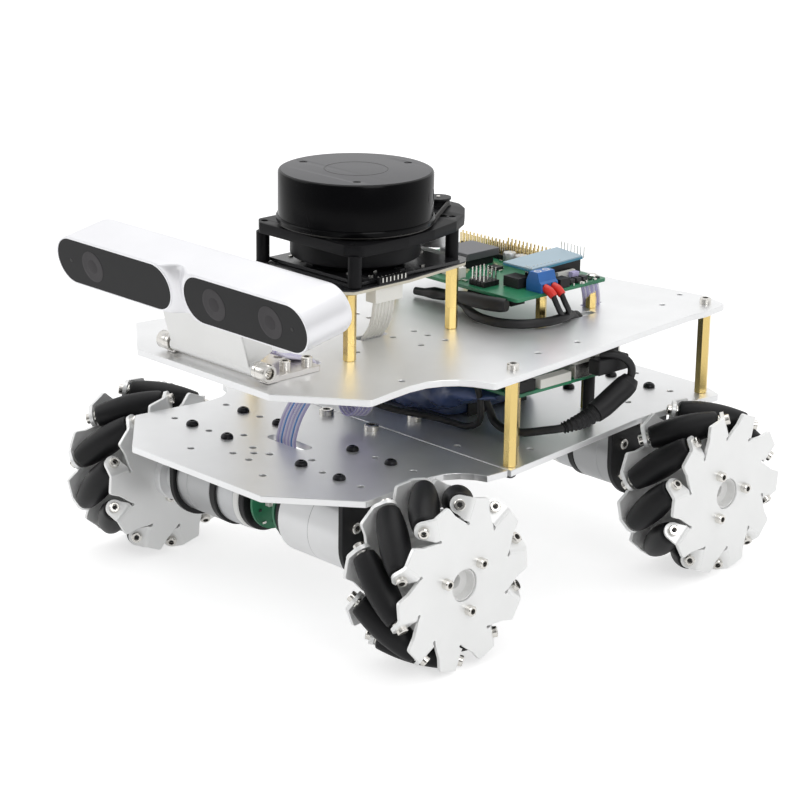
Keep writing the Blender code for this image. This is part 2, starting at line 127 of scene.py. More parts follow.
BLACK_ANODISED = grained("black_bracket", (0.014, 0.014, 0.015), 0.2, 0.42, 0.3, 2300, 0.15, 0.08, 0.0, 0.3)
BLACK_MOULD = grained("black_moulded", (0.014, 0.014, 0.015), 0.0, 0.45, 0.35, 1700, 0.2, 0.08, 0.0, 0.28)
BLACK_FRAME = grained("lidar_frame_black", (0.008, 0.008, 0.009), 0.0, 0.42, 0.3, 1700, 0.15, 0.08, 0.0, 0.13)
LIDAR_SIDE = grained("lidar_gloss_side", (0.003, 0.003, 0.0035), 0.0, 0.18, 0.0, 1000, 0.1, 0.03, 0.0, 0.09)
# The lidar top's matte dark grey is its own, but its base colour is raised above that as painted sheen, for
# the grazing reflection the top catches.
LIDAR_TOP_AND_SHEEN = grained("lidar_matte_top_and_painted_sheen", (0.085, 0.085, 0.090), 0.0, 0.50, 0.35, 1900, 0.08)
BELT = grained("belt_rubber", (0.035, 0.033, 0.031), 0.0, 0.6, 0.3, 2500, 0.2)
CAM_SILVER = grained("camera_anodised", (0.90, 0.90, 0.925), 0.72, 0.38, 0.2, 3000, 0.015, 0.04)
CAM_WINDOW = grained("camera_window", (0.036, 0.036, 0.037), 0.0, 0.22, 0.0, 1000, 0.04, 0.03, 0.0, 0.06)
LENS = grained("camera_lens", (0.066, 0.063, 0.066), 0.0, 0.15, 0.0, 1000, 0.1, 0.02, 0.0, 0.08)
PLATED = grained("plated_steel", (0.80, 0.775, 0.75), 0.85, 0.3, 0.15, 1500, 0.03)
WHITE_PAINT = grained("white_bracket_paint", (0.90, 0.90, 0.885), 0.25, 0.38, 0.25, 1500, 0.02)
BOARD = grained("board_solder_mask", (0.022, 0.19, 0.09), 0.0, 0.32, 0.25, 700, 0.35, 0.08)
BOARD_EDGE = grained("board_edge_laminate", (0.52, 0.50, 0.33), 0.0, 0.55, 0.3, 1500, 0.1)
DARK_LAMINATE = grained("lidar_deck_black", (0.018, 0.018, 0.020), 0.0, 0.22, 0.5, 1600, 0.3)
PALE_LAMINATE = grained("lidar_deck_edge", (0.62, 0.58, 0.48), 0.0, 0.5, 0.3, 1500, 0.1)
SKY_BOARD = grained("daughterboard_blue", (0.30, 0.42, 0.50), 0.0, 0.3, 0.1, 900, 0.05)
SKY_EDGE = grained("daughterboard_edge", (0.03, 0.22, 0.34), 0.0, 0.3, 0.1, 900, 0.06)
GREY_MODULE = grained("module_grey", (0.13, 0.13, 0.14), 0.4, 0.4, 0.2, 1500, 0.06)
TERMINAL = grained("terminal_blue", (0.02, 0.13, 0.42), 0.0, 0.33, 0.15, 900, 0.08)
RED = grained("ferrule_red", (0.72, 0.03, 0.02), 0.0, 0.35, 0.1, 900, 0.06)
CHIP = grained("chip_epoxy", (0.022, 0.022, 0.024), 0.0, 0.5, 0.3, 2500, 0.1)
PIN_METAL = grained("pin_tin", (0.75, 0.74, 0.70), 1.0, 0.25, 0.05, 2500)
PIN_GOLD = grained("pin_gold", (0.85, 0.68, 0.34), 1.0, 0.25, 0.05, 2500)
WHITE_PLASTIC = grained("connector_white", (0.80, 0.79, 0.74), 0.0, 0.4, 0.1, 900, 0.03)
HUB_NYLON = grained("hub_nylon", (0.80, 0.80, 0.79), 0.0, 0.42, 0.2, 600, 0.03)
LENS_CORE = grained("lens_core", (0.052, 0.049, 0.052), 0.0, 0.2, 0.0, 1000, 0.1, 0.02, 0.0, 0.08)
CABLE = grained("cable_jacket", (0.018, 0.018, 0.019), 0.0, 0.45, 0.25, 900, 0.15, 0.08, 0.0, 0.35)
RIBBON_PURPLE = grained("ribbon_purple", (0.50, 0.46, 0.72), 0.0, 0.4, 0.1, 900, 0.06)
RIBBON_BLUE = grained("ribbon_blue", (0.12, 0.30, 0.68), 0.0, 0.38, 0.1, 900, 0.08)
RIBBON_PALE = grained("ribbon_pale", (0.74, 0.72, 0.86), 0.0, 0.4, 0.1, 900, 0.05)
WRAP = grained("battery_shrink_film", (0.055, 0.085, 0.20), 0.0, 0.24, 0.9, 110, 0.45, 0.06, 0.3)
HEATSINK = grained("heatsink_black", (0.03, 0.03, 0.032), 0.7, 0.4, 0.2, 1900, 0.1)


# Mesh building -------------------------------------------------------------------------------
# Takes a plate drawn in (x, y) and raised along z to (y, z) raised along x
X_PLATE = Matrix(((0, 0, 1, 0), (1, 0, 0, 0), (0, 1, 0, 0), (0, 0, 0, 1)))
UP, DOWN, ALONG_X, ALONG_Y = (0, 0, 1), (0, 0, -1), (1, 0, 0), (0, 1, 0)


def shift(x, y, z):
    """A move without a turn."""
    return Matrix.Translation((x, y, z))


def joint_at(name):
    """A joint's place in the design frame, millimetres."""
    return Vector(JOINTS[name]["pos_m"]) / MM - Vector((0, DY, 0))


def towards(axis, at=(0, 0, 0)):
    """Turns +Z onto the axis and moves the origin to the point."""
    turn = Vector(axis).to_track_quat("Z", "Y").to_matrix().to_4x4()
    return Matrix.Translation(at) @ turn


def rounded(corners, steps=4):
    """Corners (x, y, radius) to an outline with each corner rounded by an arc."""
    outline, n = [], len(corners)
    for i, (x, y, radius) in enumerate(corners):
        here = Vector((x, y))
        before = Vector(corners[i - 1][:2]) - here
        after = Vector(corners[(i + 1) % n][:2]) - here
        if radius <= 0 or before.length < 1e-6 or after.length < 1e-6:
            outline.append((x, y))
            continue
        angle = before.angle(after)
        cut = min(radius / math.tan(angle / 2), 0.49 * before.length, 0.49 * after.length)
        start, end = here + before.normalized() * cut, here + after.normalized() * cut
        for k in range(steps + 1):
            t = k / steps
            outline.append(tuple(start * (1 - t) ** 2 + here * 2 * t * (1 - t) + end * t * t))
    return outline


def mirrored(half):
    """A right-hand half outline closed by its mirror image across x = 0."""
    return list(half) + [(-p[0], *p[1:]) for p in reversed(half)]


def arc(x, y, radius, start, sweep, steps):
    """Points round a centre, both ends of the sweep among them."""
    angles = [start + sweep * k / steps for k in range(steps + 1)]
    return [(x + radius * math.cos(a), y + radius * math.sin(a)) for a in angles]


def circle(x, y, radius, steps=20):
    """A closed ring of points, the first not repeated."""
    return arc(x, y, radius, 0, 2 * math.pi, steps)[:-1]


def bands(rings, sides, closed=False):
    """Four-cornered faces between rings of points that follow one another."""
    starts = [i * sides for i in range(rings)]
    after = starts[1:] + (starts[:1] if closed else [])
    return [[a + k, a + (k + 1) % sides, b + (k + 1) % sides, b + k]
            for a, b in zip(starts, after) for k in range(sides)]


def slot_outline(x0, y0, x1, y1, width, steps=6):
    """A round-ended slot between two points."""
    run = Vector((x1 - x0, y1 - y0))
    angle = math.atan2(run.y, run.x)
    return (arc(x1, y1, width / 2, angle - math.pi / 2, math.pi, steps)
            + arc(x0, y0, width / 2, angle + math.pi / 2, math.pi, steps))


class Piece:
    """One visible piece, gathered from simple closed shapes given in millimetres."""

    def __init__(self, name, place=None):
        self.name = name
        self.work = bmesh.new()
        self.materials = []
        self.place = place or Matrix()

    def slot_of(self, material):
        if material not in self.materials:
            self.materials.append(material)
        return self.materials.index(material)

    def add(self, verts, faces, material, place=None):
        full = self.place @ (place or Matrix())
        index = self.slot_of(material)
        new = [self.work.verts.new(full @ Vector(v)) for v in verts]
        for face in faces:
            corners = list(dict.fromkeys(face))
            if len(corners) > 2:
                self.work.faces.new([new[i] for i in corners]).material_index = index

    def prism(self, outline, low, high, material, place=None):
        """The (x, y) outline raised from z = low to z = high."""
        n = len(outline)
        verts = [(x, y, z) for z in (low, high) for x, y in outline]
        faces = [list(range(n)), list(range(n, 2 * n))]
        self.add(verts, faces + bands(2, n), material, place)

    def box(self, low, high, material):
        """A block between two opposite corners."""
        outline = [(low[0], low[1]), (high[0], low[1]), (high[0], high[1]), (low[0], high[1])]
        self.prism(outline, low[2], high[2], material)

    def lathe(self, profile, material, place=None, segments=32):
        """The (radius, z) profile turned about Z. A first or last radius of 0 closes that end."""
        verts, rings = [], []
        for radius, z in profile:
            if radius == 0:
                rings.append([len(verts)] * segments)
                verts.append((0, 0, z))
                continue
            rings.append(list(range(len(verts), len(verts) + segments)))
            verts += [(x, y, z) for x, y in circle(0, 0, radius, segments)]
        loop = profile[0][0] != 0
        pairs = list(zip(rings, rings[1:] + ([rings[0]] if loop else [])))
        faces = []
        for one, two in pairs:
            if one == two:
                continue
            faces += [[one[k], one[(k + 1) % segments], two[(k + 1) % segments], two[k]]
                      for k in range(segments)]
        self.add(verts, faces, material, place)

    def rod(self, radius, low, high, material, place=None, segments=24):
        """A round bar along Z with eased ends."""
        edge = min(0.25, radius * 0.4, (high - low) * 0.3)
        self.lathe([(0, low), (radius - edge, low), (radius, low + edge), (radius, high - edge),
                    (radius - edge, high), (0, high)], material, place, segments)

    def tube(self, points, radius, material, sides=12, smooth=6):
        """A round cord along a smooth curve through the points; radius may be a list."""
        radii = list(radius) if isinstance(radius, (list, tuple)) else [radius] * len(points)
        path, sizes = spline(points, radii, smooth)
        verts, normal = [], None
        for i, p in enumerate(path):
            ahead = (path[min(i + 1, len(path) - 1)] - path[max(i - 1, 0)]).normalized()
            if normal is None:
                normal = ahead.orthogonal().normalized()
            normal = (normal - ahead * normal.dot(ahead)).normalized()
            side = ahead.cross(normal)
            for k in range(sides):
                a = 2 * math.pi * k / sides
                verts.append(p + (normal * math.cos(a) + side * math.sin(a)) * sizes[i])
        last = (len(path) - 1) * sides
        faces = [list(range(sides)), list(range(last, last + sides))]
        self.add(verts, faces + bands(len(path), sides), material)

    def plate(self, outline, holes, low, high, material, edge=0.25, place=None):
        """A flat plate with holes cut through it and its edges eased."""
        curve = bpy.data.curves.new("plate", "CURVE")
        curve.dimensions, curve.fill_mode = "2D", "BOTH"
        curve.extrude = (high - low) / 2 - edge
        curve.bevel_depth, curve.bevel_resolution, curve.offset = edge, 1, -edge
        for loop in [outline] + list(holes):
            spline_ = curve.splines.new("POLY")
            spline_.points.add(len(loop) - 1)
            for point, (x, y) in zip(spline_.points, loop):
                point.co = (x, y, 0, 1)
            spline_.use_cyclic_u = True
        holder = bpy.data.objects.new("plate", curve)
        bpy.context.scene.collection.objects.link(holder)
        bpy.context.view_layer.update()
        graph = bpy.context.evaluated_depsgraph_get()
        mesh = bpy.data.meshes.new_from_object(holder.evaluated_get(graph))
        bpy.data.objects.remove(holder, do_unlink=True)
        full = (place or Matrix()) @ shift(0, 0, (low + high) / 2)
        self.add([v.co for v in mesh.vertices], [list(p.vertices) for p in mesh.polygons],
                 material, full)
        bpy.data.meshes.remove(mesh)

    def screw(self, at, axis, radius=2.7, height=3.0, material=None, socket=1.4):
        """A socket cap screw whose head stands on the point, along the axis."""
        material = material or NICKEL
        place = towards(axis, at)
        e = radius * 0.14
        self.lathe([(0, 0), (radius, 0), (radius, height - e), (radius - e, height),
                    (socket, height), (socket, height - e), (socket * 0.98, height * 0.42),
                    (0, height * 0.42)], material, place, 20)
        # The dark disc at the floor of the socket is painted shade in the recess; on the coupling set screws
        # it matches their own black.
        self.lathe([(0, height * 0.43), (socket * 0.9, height * 0.43),
                    (socket * 0.9, height * 0.5), (0, height * 0.5)], BLACK_AND_PAINTED_SHADE, place, 6)

    def button(self, at, axis, radius, height):
        """A low domed black screw head with a socket."""
        self.lathe([(0, 0), (radius, 0), (radius, height * 0.35), (radius * 0.86, height * 0.72),
                    (radius * 0.55, height), (radius * 0.38, height), (radius * 0.36, height * 0.4),
                    (0, height * 0.4)], BLACK_SCREW, towards(axis, at), 24)

    def hexagon(self, at, low, high, across, material):
        """A hexagonal column, with eased ends, across flats as given."""
        r = across / math.sqrt(3)
        self.lathe([(0, low), (r * 0.9, low), (r, low + 0.35), (r, high - 0.35), (r * 0.9, high),
                    (0, high)], material, shift(at[0], at[1], 0), 6)

    def nut(self, x, y, z):
        """A round nut on a standoff's end."""
        self.lathe([(0, 0), (2.6, 0), (2.6, 1.3), (1.8, 1.9), (0, 1.9)], NICKEL, shift(x, y, z), 20)

    def disc(self, radius, low, high, material, place):
        """A short round bar along Z with sharp edges."""
        self.lathe([(0, low), (radius, low), (radius, high), (0, high)], material, place, 16)

    def finish(self, body, replaces=(), bevel=0.0, angle=32):
        """Makes the object, in metres, in the frame, and hangs it on its body."""
        work = self.work
        bmesh.ops.remove_doubles(work, verts=work.verts, dist=1e-4)
        bmesh.ops.recalc_face_normals(work, faces=work.faces)
        bmesh.ops.transform(work, matrix=Matrix.Scale(MM, 4) @ shift(0, DY, 0), verts=work.verts)
        mesh = bpy.data.meshes.new(self.name)
        work.to_mesh(mesh)
        work.free()
        mesh.shade_smooth()
        mesh.set_sharp_from_angle(angle=math.radians(angle))
        for material in self.materials:
            mesh.materials.append(material)
        obj = bpy.data.objects.new(self.name, mesh)
        bpy.context.scene.collection.objects.link(obj)
        if bevel:
            ease = obj.modifiers.new("ease", "BEVEL")
            ease.width, ease.segments = bevel * MM, 2
            ease.limit_method, ease.angle_limit = "ANGLE", math.radians(angle)
            ease.harden_normals = True
        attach(obj, body)
        if replaces:
            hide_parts(*replaces)
        return obj


def spline(points, radii, steps):
    """A Catmull-Rom curve through the points, and its radii."""
    points = [Vector(p) for p in points]
    if steps <= 1 or len(points) < 3:
        return points, radii
    path, sizes = [], []
    for i in range(len(points) - 1):
        p0, p1 = points[max(i - 1, 0)], points[i]
        p2, p3 = points[i + 1], points[min(i + 2, len(points) - 1)]
        for k in range(steps):
            t = k / steps
            path.append(0.5 * ((2 * p1) + (p2 - p0) * t + (2 * p0 - 5 * p1 + 4 * p2 - p3) * t * t
                               + (3 * p1 - p0 - 3 * p2 + p3) * t ** 3))
            sizes.append(radii[i] * (1 - t) + radii[i + 1] * t)
    return path + [points[-1]], sizes + [radii[-1]]


# Wheels --------------------------------------------------------------------------------------
def wheel_frame(corner):
    """Wheel coordinates (axis X, outer side +X, first roller at the top) to the design frame."""
    centre = joint_at(f"wheel_{corner}")
    flip_x, flip_y = (-1 if corner[1] == "r" else 1), (-1 if corner[0] == "r" else 1)
    first = joint_at(f"roller_{corner}_01") - centre
    phase = math.atan2(flip_y * first.y, first.z)
    return shift(*centre) @ Matrix.Diagonal((flip_x, flip_y, 1, 1)) @ Matrix.Rotation(-phase, 4, "X")


def to_wheel(x, s, h, angle):
    """Roller frame (x along the axle, s tangential, h radial) to wheel coordinates."""
    turn = math.radians(angle)
    return Vector((x, h * math.sin(turn) - s * math.cos(turn),
                   h * math.cos(turn) + s * math.sin(turn)))


def roller_axis(side, angle):
    """The way a roller's axis points, at 45 degrees to the axle."""
    return to_wheel(side, side, 0, angle).normalized()


def tab_grid(side, angle):
    """The bent tab of one roller: a strip that leaves the plate, turns 45 degrees and ends round
    the roller's pin. Returns closed verts and faces."""
    mid = WHEEL_W / 2 - SHEET / 2
    root_s, fold, bend = 6.6, 8.9, 2.6
    # Middle line in (x, s): along the plate, round the bend, then square to the roller axis
    centre = (mid - bend, fold)
    line = [(mid, root_s, 0.0), (mid, fold, 0.0)]
    for k in range(1, 7):
        a = math.radians(45 * k / 6)
        line.append((centre[0] + bend * math.cos(a), centre[1] + bend * math.sin(a), a))
    x0, s0, _ = line[-1]
    end_u = 4.1
    u0 = (s0 - x0) / math.sqrt(2)
    steps = 14
    for k in range(1, steps + 1):
        d = (end_u - u0) * math.sin(math.pi / 2 * k / steps)
        line.append((x0 - d / math.sqrt(2), s0 + d / math.sqrt(2), math.radians(45)))
    verts, rows = [], 6
    half = SHEET / 2
    for x, s, a in line:
        u = (s - x) / math.sqrt(2)
        low, high = -5.9, 4.4
        if u > -4.1:
            t = min(1.0, (u + 4.1) / 4.1)
            low, high = -5.9 + 1.8 * t, 4.5 - 0.4 * t
        if u > 0:
            reach = math.sqrt(max(0.0, 4.1 ** 2 - u ** 2))
            low, high = -max(reach, 0.6), max(reach, 0.6)
        sunk = 0.12 if a == 0 else 0.0
        for face in (1, -1):
            for r in range(rows + 1):
                h = ROLLER_AXIS_R + low + (high - low) * r / rows
                off = (half - sunk) * face
                verts.append(to_wheel((x + off * math.cos(a)) * side,
                                      (s + off * math.sin(a)) * side, h, angle))
    n = rows + 1
    faces = []
    for i in range(len(line) - 1):
        a, b = i * 2 * n, (i + 1) * 2 * n
        for r in range(rows):
            faces.append([a + r, a + r + 1, b + r + 1, b + r])
            faces.append([a + n + r, b + n + r, b + n + r + 1, a + n + r + 1])
        faces.append([a, b, b + n, a + n])
        faces.append([a + rows, a + n + rows, b + n + rows, b + rows])
    for i in (0, len(line) - 1):
        a = i * 2 * n
        faces += [[a + r, a + n + r, a + n + r + 1, a + r + 1] for r in range(rows)]
    return verts, faces


def wheel_outline(side):
    """The flat part of a wheel plate in (y, z): ten teeth with a slot beside each tab's root."""
    outline = []
    for k in range(ROLLERS):
        angle = k * 360 / ROLLERS
        tooth = [(8.9, 27.1, 0.5), (8.9, 37.5, 0.8), (0.8, 38.9, 1.6), (-1.9, 33.4, 1.4),
                 (-7.2, 27.2, 0.3), (-8.0, 25.6, 0.6), (-9.0, 26.0, 0.5)]
        for s, h, r in tooth:
            p = to_wheel(0, s * side, h, angle * side)
            outline.append((p.y, p.z, r))
    return rounded(outline, 3)


def build_wheel(corner):
    """Two toothed plates on a core, with their screws and the coupling to the motor."""
    body = f"wheel_{corner}"
    place = wheel_frame(corner)
    half = WHEEL_W / 2
    for side, label in ((1, "outer"), (-1, "inner")):
        piece = Piece(f"wheel_plate_{label}_{corner}", place)
        low, high = sorted((side * half, side * (half - SHEET)))
        piece.plate(wheel_outline(side), [circle(0, 0, 7.4, 32)], low, high, WHEEL_SHEET, 0.22, X_PLATE)
        for k in range(ROLLERS):
            verts, faces = tab_grid(side, k * 360 / ROLLERS)
            piece.add(verts, faces, WHEEL_SHEET)
        piece.finish(body, (f"wheel_hub_{corner}",) if side > 0 else (), angle=14)
    core = Piece(f"wheel_core_{corner}", place)
    along = towards(ALONG_X)
    core.lathe([(3.2, -half + 2.2), (12.6, -half + 2.2), (12.6, -half + 6), (10.2, -half + 7),
                (10.2, half - 7), (12.6, half - 6), (12.6, half - 2.1), (7.2, half - 2.1),
                (7.2, half - 0.9), (6.6, half - 0.9), (6.2, half - 5), (3.2, half - 6)],
               HUB_NYLON, along, 48)
    core.rod(3.0, -44, half - 9, MOTOR_SILVER, along, 24)
    core.finish(body, bevel=0.2)
    screws = Piece(f"wheel_screws_{corner}", place)
    for k in range(3):
        a = math.radians(HUB_SCREW_TURN[corner] + 120 * k)
        y, z = HUB_SCREW_RING * math.cos(a), HUB_SCREW_RING * math.sin(a)
        screws.screw((half - 0.05, y, z), (1, 0, 0), 2.4, 2.9, socket=1.3)
        screws.screw((-half + 0.05, y, z), (-1, 0, 0), 2.4, 2.2, socket=1.3)
    for k in range(ROLLERS):
        angle = k * 360 / ROLLERS
        pin_place = towards(roller_axis(1, angle), to_wheel(0, 0, ROLLER_AXIS_R, angle))
        screws.rod(1.5, -TAB_AT - 1, TAB_AT + 1, PIN_METAL, pin_place, 12)
        for side in (1, -1):
            axis = roller_axis(1, angle) * side
            at = to_wheel(0, 0, ROLLER_AXIS_R, angle) + axis * (TAB_AT + SHEET / 2 - 0.05)
            screws.screw(at, axis, 2.5, 2.7, socket=1.35)
            screws.lathe([(1.6, 0), (2.9, 0), (2.9, 0.5), (1.6, 0.5)], PIN_METAL,
                         towards(-axis, at - axis * (SHEET - 0.1)), 20)
    screws.finish(body)
    coupling = Piece(f"shaft_coupling_{corner}", place)
    inner = -half - (WHEEL_X - half - BRACKET_X - 3.0) + 1.6
    coupling.lathe([(3.1, inner), (8.2, inner), (8.6, inner + 0.5), (8.6, -half - 4.0),
                    (8.2, -half - 3.6), (12.4, -half - 3.6), (12.8, -half - 3.2),
                    (12.8, -half - 0.05), (3.1, -half - 0.05)], MOTOR_SILVER, along, 40)
    for k in range(2):
        a = math.radians(90 * k + 20)
        direction = Vector((0, math.cos(a), math.sin(a)))
        coupling.screw(Vector((inner + 5, 0, 0)) + direction * 7.2, direction, 1.6, 1.7, BLACK_AND_PAINTED_SHADE, 0.8)
    coupling.finish(body, bevel=0.15)


def roller_profile():
    """The rubber's (radius, z): a barrel that keeps within the wheel's circle, and two rounded ends."""
    profile = []
    steps = 18
    for k in range(steps + 1):
        z = -ROLLER_HALF + 1.0 + (2 * ROLLER_HALF - 2.0) * k / steps
        r = WHEEL_R - math.sqrt(ROLLER_AXIS_R ** 2 + z * z / 2) - 0.08
        profile.append((r, z))
    ends = profile[0][0]
    left = [(4.1, -ROLLER_HALF + 0.55), (ends - 1.0, -ROLLER_HALF + 0.1),
            (ends - 0.35, -ROLLER_HALF + 0.4)]
    right = [(r, -z) for r, z in reversed(left)]
    return left + profile + right


def build_rollers():
    """Ten barrel rollers a wheel, each on its own body."""
    profile = roller_profile()
    for corner in CORNERS:
        for k in range(1, ROLLERS + 1):
            node = f"roller_{corner}_{k:02d}"
            piece = Piece(f"rubber_{node}", towards(JOINTS[node]["axis"], joint_at(node)))
            piece.lathe(profile, RUBBER, None, 40)
            piece.lathe([(1.75, -ROLLER_HALF + 0.15), (3.9, -ROLLER_HALF + 0.15),
                         (4.15, -ROLLER_HALF + 0.6), (4.15, ROLLER_HALF - 0.6),
                         (3.9, ROLLER_HALF - 0.15), (1.75, ROLLER_HALF - 0.15)], CORE, None, 24)
            piece.finish(node, (node,), angle=40)


# Gear motors ---------------------------------------------------------------------------------
def build_motor(corner):
    """Gearbox, can, encoder, wires, bracket and screws of one motor."""
    body = "front_axle" if corner[0] == "f" else "chassis"
    sx, sy = (-1 if corner[1] == "r" else 1), (1 if corner[0] == "f" else -1)
    flip = Matrix.Diagonal((sx, sy, 1, 1))
    y, z = -AXLE_Y, MOTOR_Z
    along = towards(ALONG_X, (0, y, z))
    piece = Piece(f"gear_motor_case_{corner}", flip)
    g, c = GEARBOX_R - 0.1, CAN_R - 0.1
    piece.lathe([(0, 33), (g - 0.5, 33), (g, 33.5), (g, 48.6), (g - 0.25, 48.8), (g - 0.25, 49.1),
                 (g, 49.3), (g, BRACKET_X - 0.5), (g - 0.5, BRACKET_X), (0, BRACKET_X)],
                GEAR_STEEL, along, 64)
    if corner != "fl":
        piece.lathe([(0, 29.2), (g - 0.3, 29.2), (g + 0.05, 29.5), (g + 0.05, 32.7),
                     (g - 0.3, 33.1), (0, 33.1)], BLACK_MOULD, along, 64)
    piece.lathe([(0, 17.5), (c - 0.6, 17.5), (c, 18.2), (c, 29.3), (0, 29.3)], CAN_SILVER,
                along, 64)
    piece.lathe([(0, 14.4), (c - 0.7, 14.4), (c - 0.2, 14.9), (c - 0.2, 17.7), (0, 17.7)],
                WHITE_CAP, along, 64)
    piece.lathe([(0, 11.0), (c - 1.1, 11.0), (c - 0.7, 11.4), (c - 0.7, 14.6), (0, 14.6)],
                BLACK_MOULD, along, 64)
    # Only the front-left motor, the one in the light, wears the pale label sleeve over its gearbox and can.
    # The label is real, but the three motors in shadow are left without it and show darker steel: partly
    # painted shade.
    if corner == "fl":
        piece.lathe([(0, 15.2), (g - 0.3, 15.2), (g + 0.04, 15.6), (g + 0.04, 35.0), (g - 0.06, 35.1),
                     (g - 0.06, 35.3), (g + 0.04, 35.4), (g + 0.04, BRACKET_X - 1.0),
                     (0, BRACKET_X - 1.0)], MOTOR_SILVER, along, 64)
    piece.finish(body, (f"gear_motor_{corner}",))

    encoder = Piece(f"encoder_board_{corner}", flip)
    encoder.prism(circle(0, 0, 14.4, 48), 6.8, 8.2, BOARD, along)
    encoder.rod(9.5, 8.1, 11.1, BLACK_MOULD, along, 40)
    for k in range(11):
        a = math.radians(360 * k / 11 + 200)
        r = 10.5 + 2.0 * (k % 2)
        py, pz = y + r * math.cos(a), z + r * math.sin(a)
        size = 0.7 + 0.4 * (k % 3)
        encoder.box((6.2, py - size, pz - 0.5), (6.9, py + size, pz + 0.5),
                    PIN_METAL if k % 2 else CHIP)
    encoder.box((4.0, y - 6.6, z - 2.0), (6.9, y + 6.6, z + 7.5), WHITE_PLASTIC)
    encoder.box((3.2, y - 5.4, z - 0.8), (4.1, y + 5.4, z + 6.0), WHITE_PLASTIC)
    for k in range(6):
        py = y - 4.4 + 1.76 * k
        colour = (RED, BLACK_MOULD, RIBBON_BLUE, WHITE_PLASTIC, RIBBON_PURPLE, RIBBON_PALE)[k]
        encoder.tube([(3.4, py, z + 4), (3.0, py, z + 12), (3.6, py * 0.5 + y * 0.5, z + 20),
                      (4.2, y + 0.4 * k, z + 24.0)], 0.55, colour, 8)
    encoder.finish(body)

    bracket = Piece(f"motor_bracket_{corner}", flip)
    top = LOWER_TOP - DECK_T - 0.05
    half = 20.0
    outline = [(y - half, top)] + arc(y, z - 1, half, math.pi, math.pi, 24) + [(y + half, top)]
    bracket.prism(outline, BRACKET_X, BRACKET_X + 3.0, BLACK_ANODISED, X_PLATE)
    bracket.box((20.6, y - 19.6, top - 2.9), (BRACKET_X + 0.6, y + 19.6, top), BLACK_ANODISED)
    bracket.lathe([(3.3, BRACKET_X + 2.9), (6.2, BRACKET_X + 2.9), (6.2, BRACKET_X + 4.1),
                   (3.3, BRACKET_X + 4.1)], BRASS, towards(ALONG_X, (0, y, 40.0)), 32)
    bracket.finish(body, bevel=0.5)
    fixings = Piece(f"motor_screws_{corner}", flip)
    for k in range(6):
        a = math.radians(60 * k + 30)
        fixings.screw((BRACKET_X + 2.95, y + 15.5 * math.cos(a), z + 15.5 * math.sin(a)),
                      (1, 0, 0), 2.6, 2.6, socket=1.35)
    deck = {"f": ((25.5, -101.2), (50.5, -101.2), (25.5, -70.2), (50.5, -70.2)),
            "r": ((25.0, -105.0), (49.9, -105.0), (25.0, -74.0), (49.9, -74.0))}[corner[0]]
    for x, dy in deck:
        fixings.button((x, dy, LOWER_TOP - 0.05), UP, 2.9, 2.2)
        fixings.hexagon((x, dy), top - 5.2, top - 2.8, 5.5, NICKEL)
    fixings.finish(body)


# Decks ---------------------------------------------------------------------------------------
FRONT_HALF = ((44.4, -141.2, 2), (79.5, -112.0, 1.5), (78.4, -100.0, 0), (76.8, -88.0, 0),
              (75.2, -78.0, 3), (74.7, -70.0, 4), (75.9, -62.0, 4), (79.8, -55.6, 4),
              (84.8, -51.8, 4), (90.4, -49.6, 1), (91.2, SEAM_Y - 0.4, 0.4))
REAR_HALF = ((92.4, SEAM_Y + 0.4, 0.4), (86.2, 12.0, 0), (80.6, 55.0, 3), (79.3, 66.0, 5),
             (79.3, 108.0, 5), (81.4, 121.3, 4), (64.2, 129.0, 4))
UPPER_HALF = ((45.0, -136.8, 2), (80.0, -110.2, 1.5), (77.6, -96.0, 4), (75.8, -83.4, 4),
              (76.2, -74.0, 4), (78.8, -67.0, 4), (83.2, -61.0, 4), (88.6, -57.2, 4),
              (97.6, -53.6, 2.5), (93.3, -8.0, 0), (87.4, 38.6, 0), (81.3, 95.3, 4),
              (81.7, 107.6, 4), (79.3, 124.5, 5), (62.0, 129.0, 5), (37.0, 124.6, 8),
              (13.0, 119.6, 8))


def painted_hole_shade(piece, spots, low, radius=1.62):
    """Painted shade: a dark disc inside each small hole, standing in for the shadow seen down the open hole.
    """
    for x, y in spots:
        piece.disc(radius, low + 0.3, low + 0.7, BLACK_AND_PAINTED_SHADE, shift(x, y, 0))


def both(points):
    """Each point and its mirror image across x = 0."""
    return [(x * s, y) for x, y in points for s in (1, -1)]


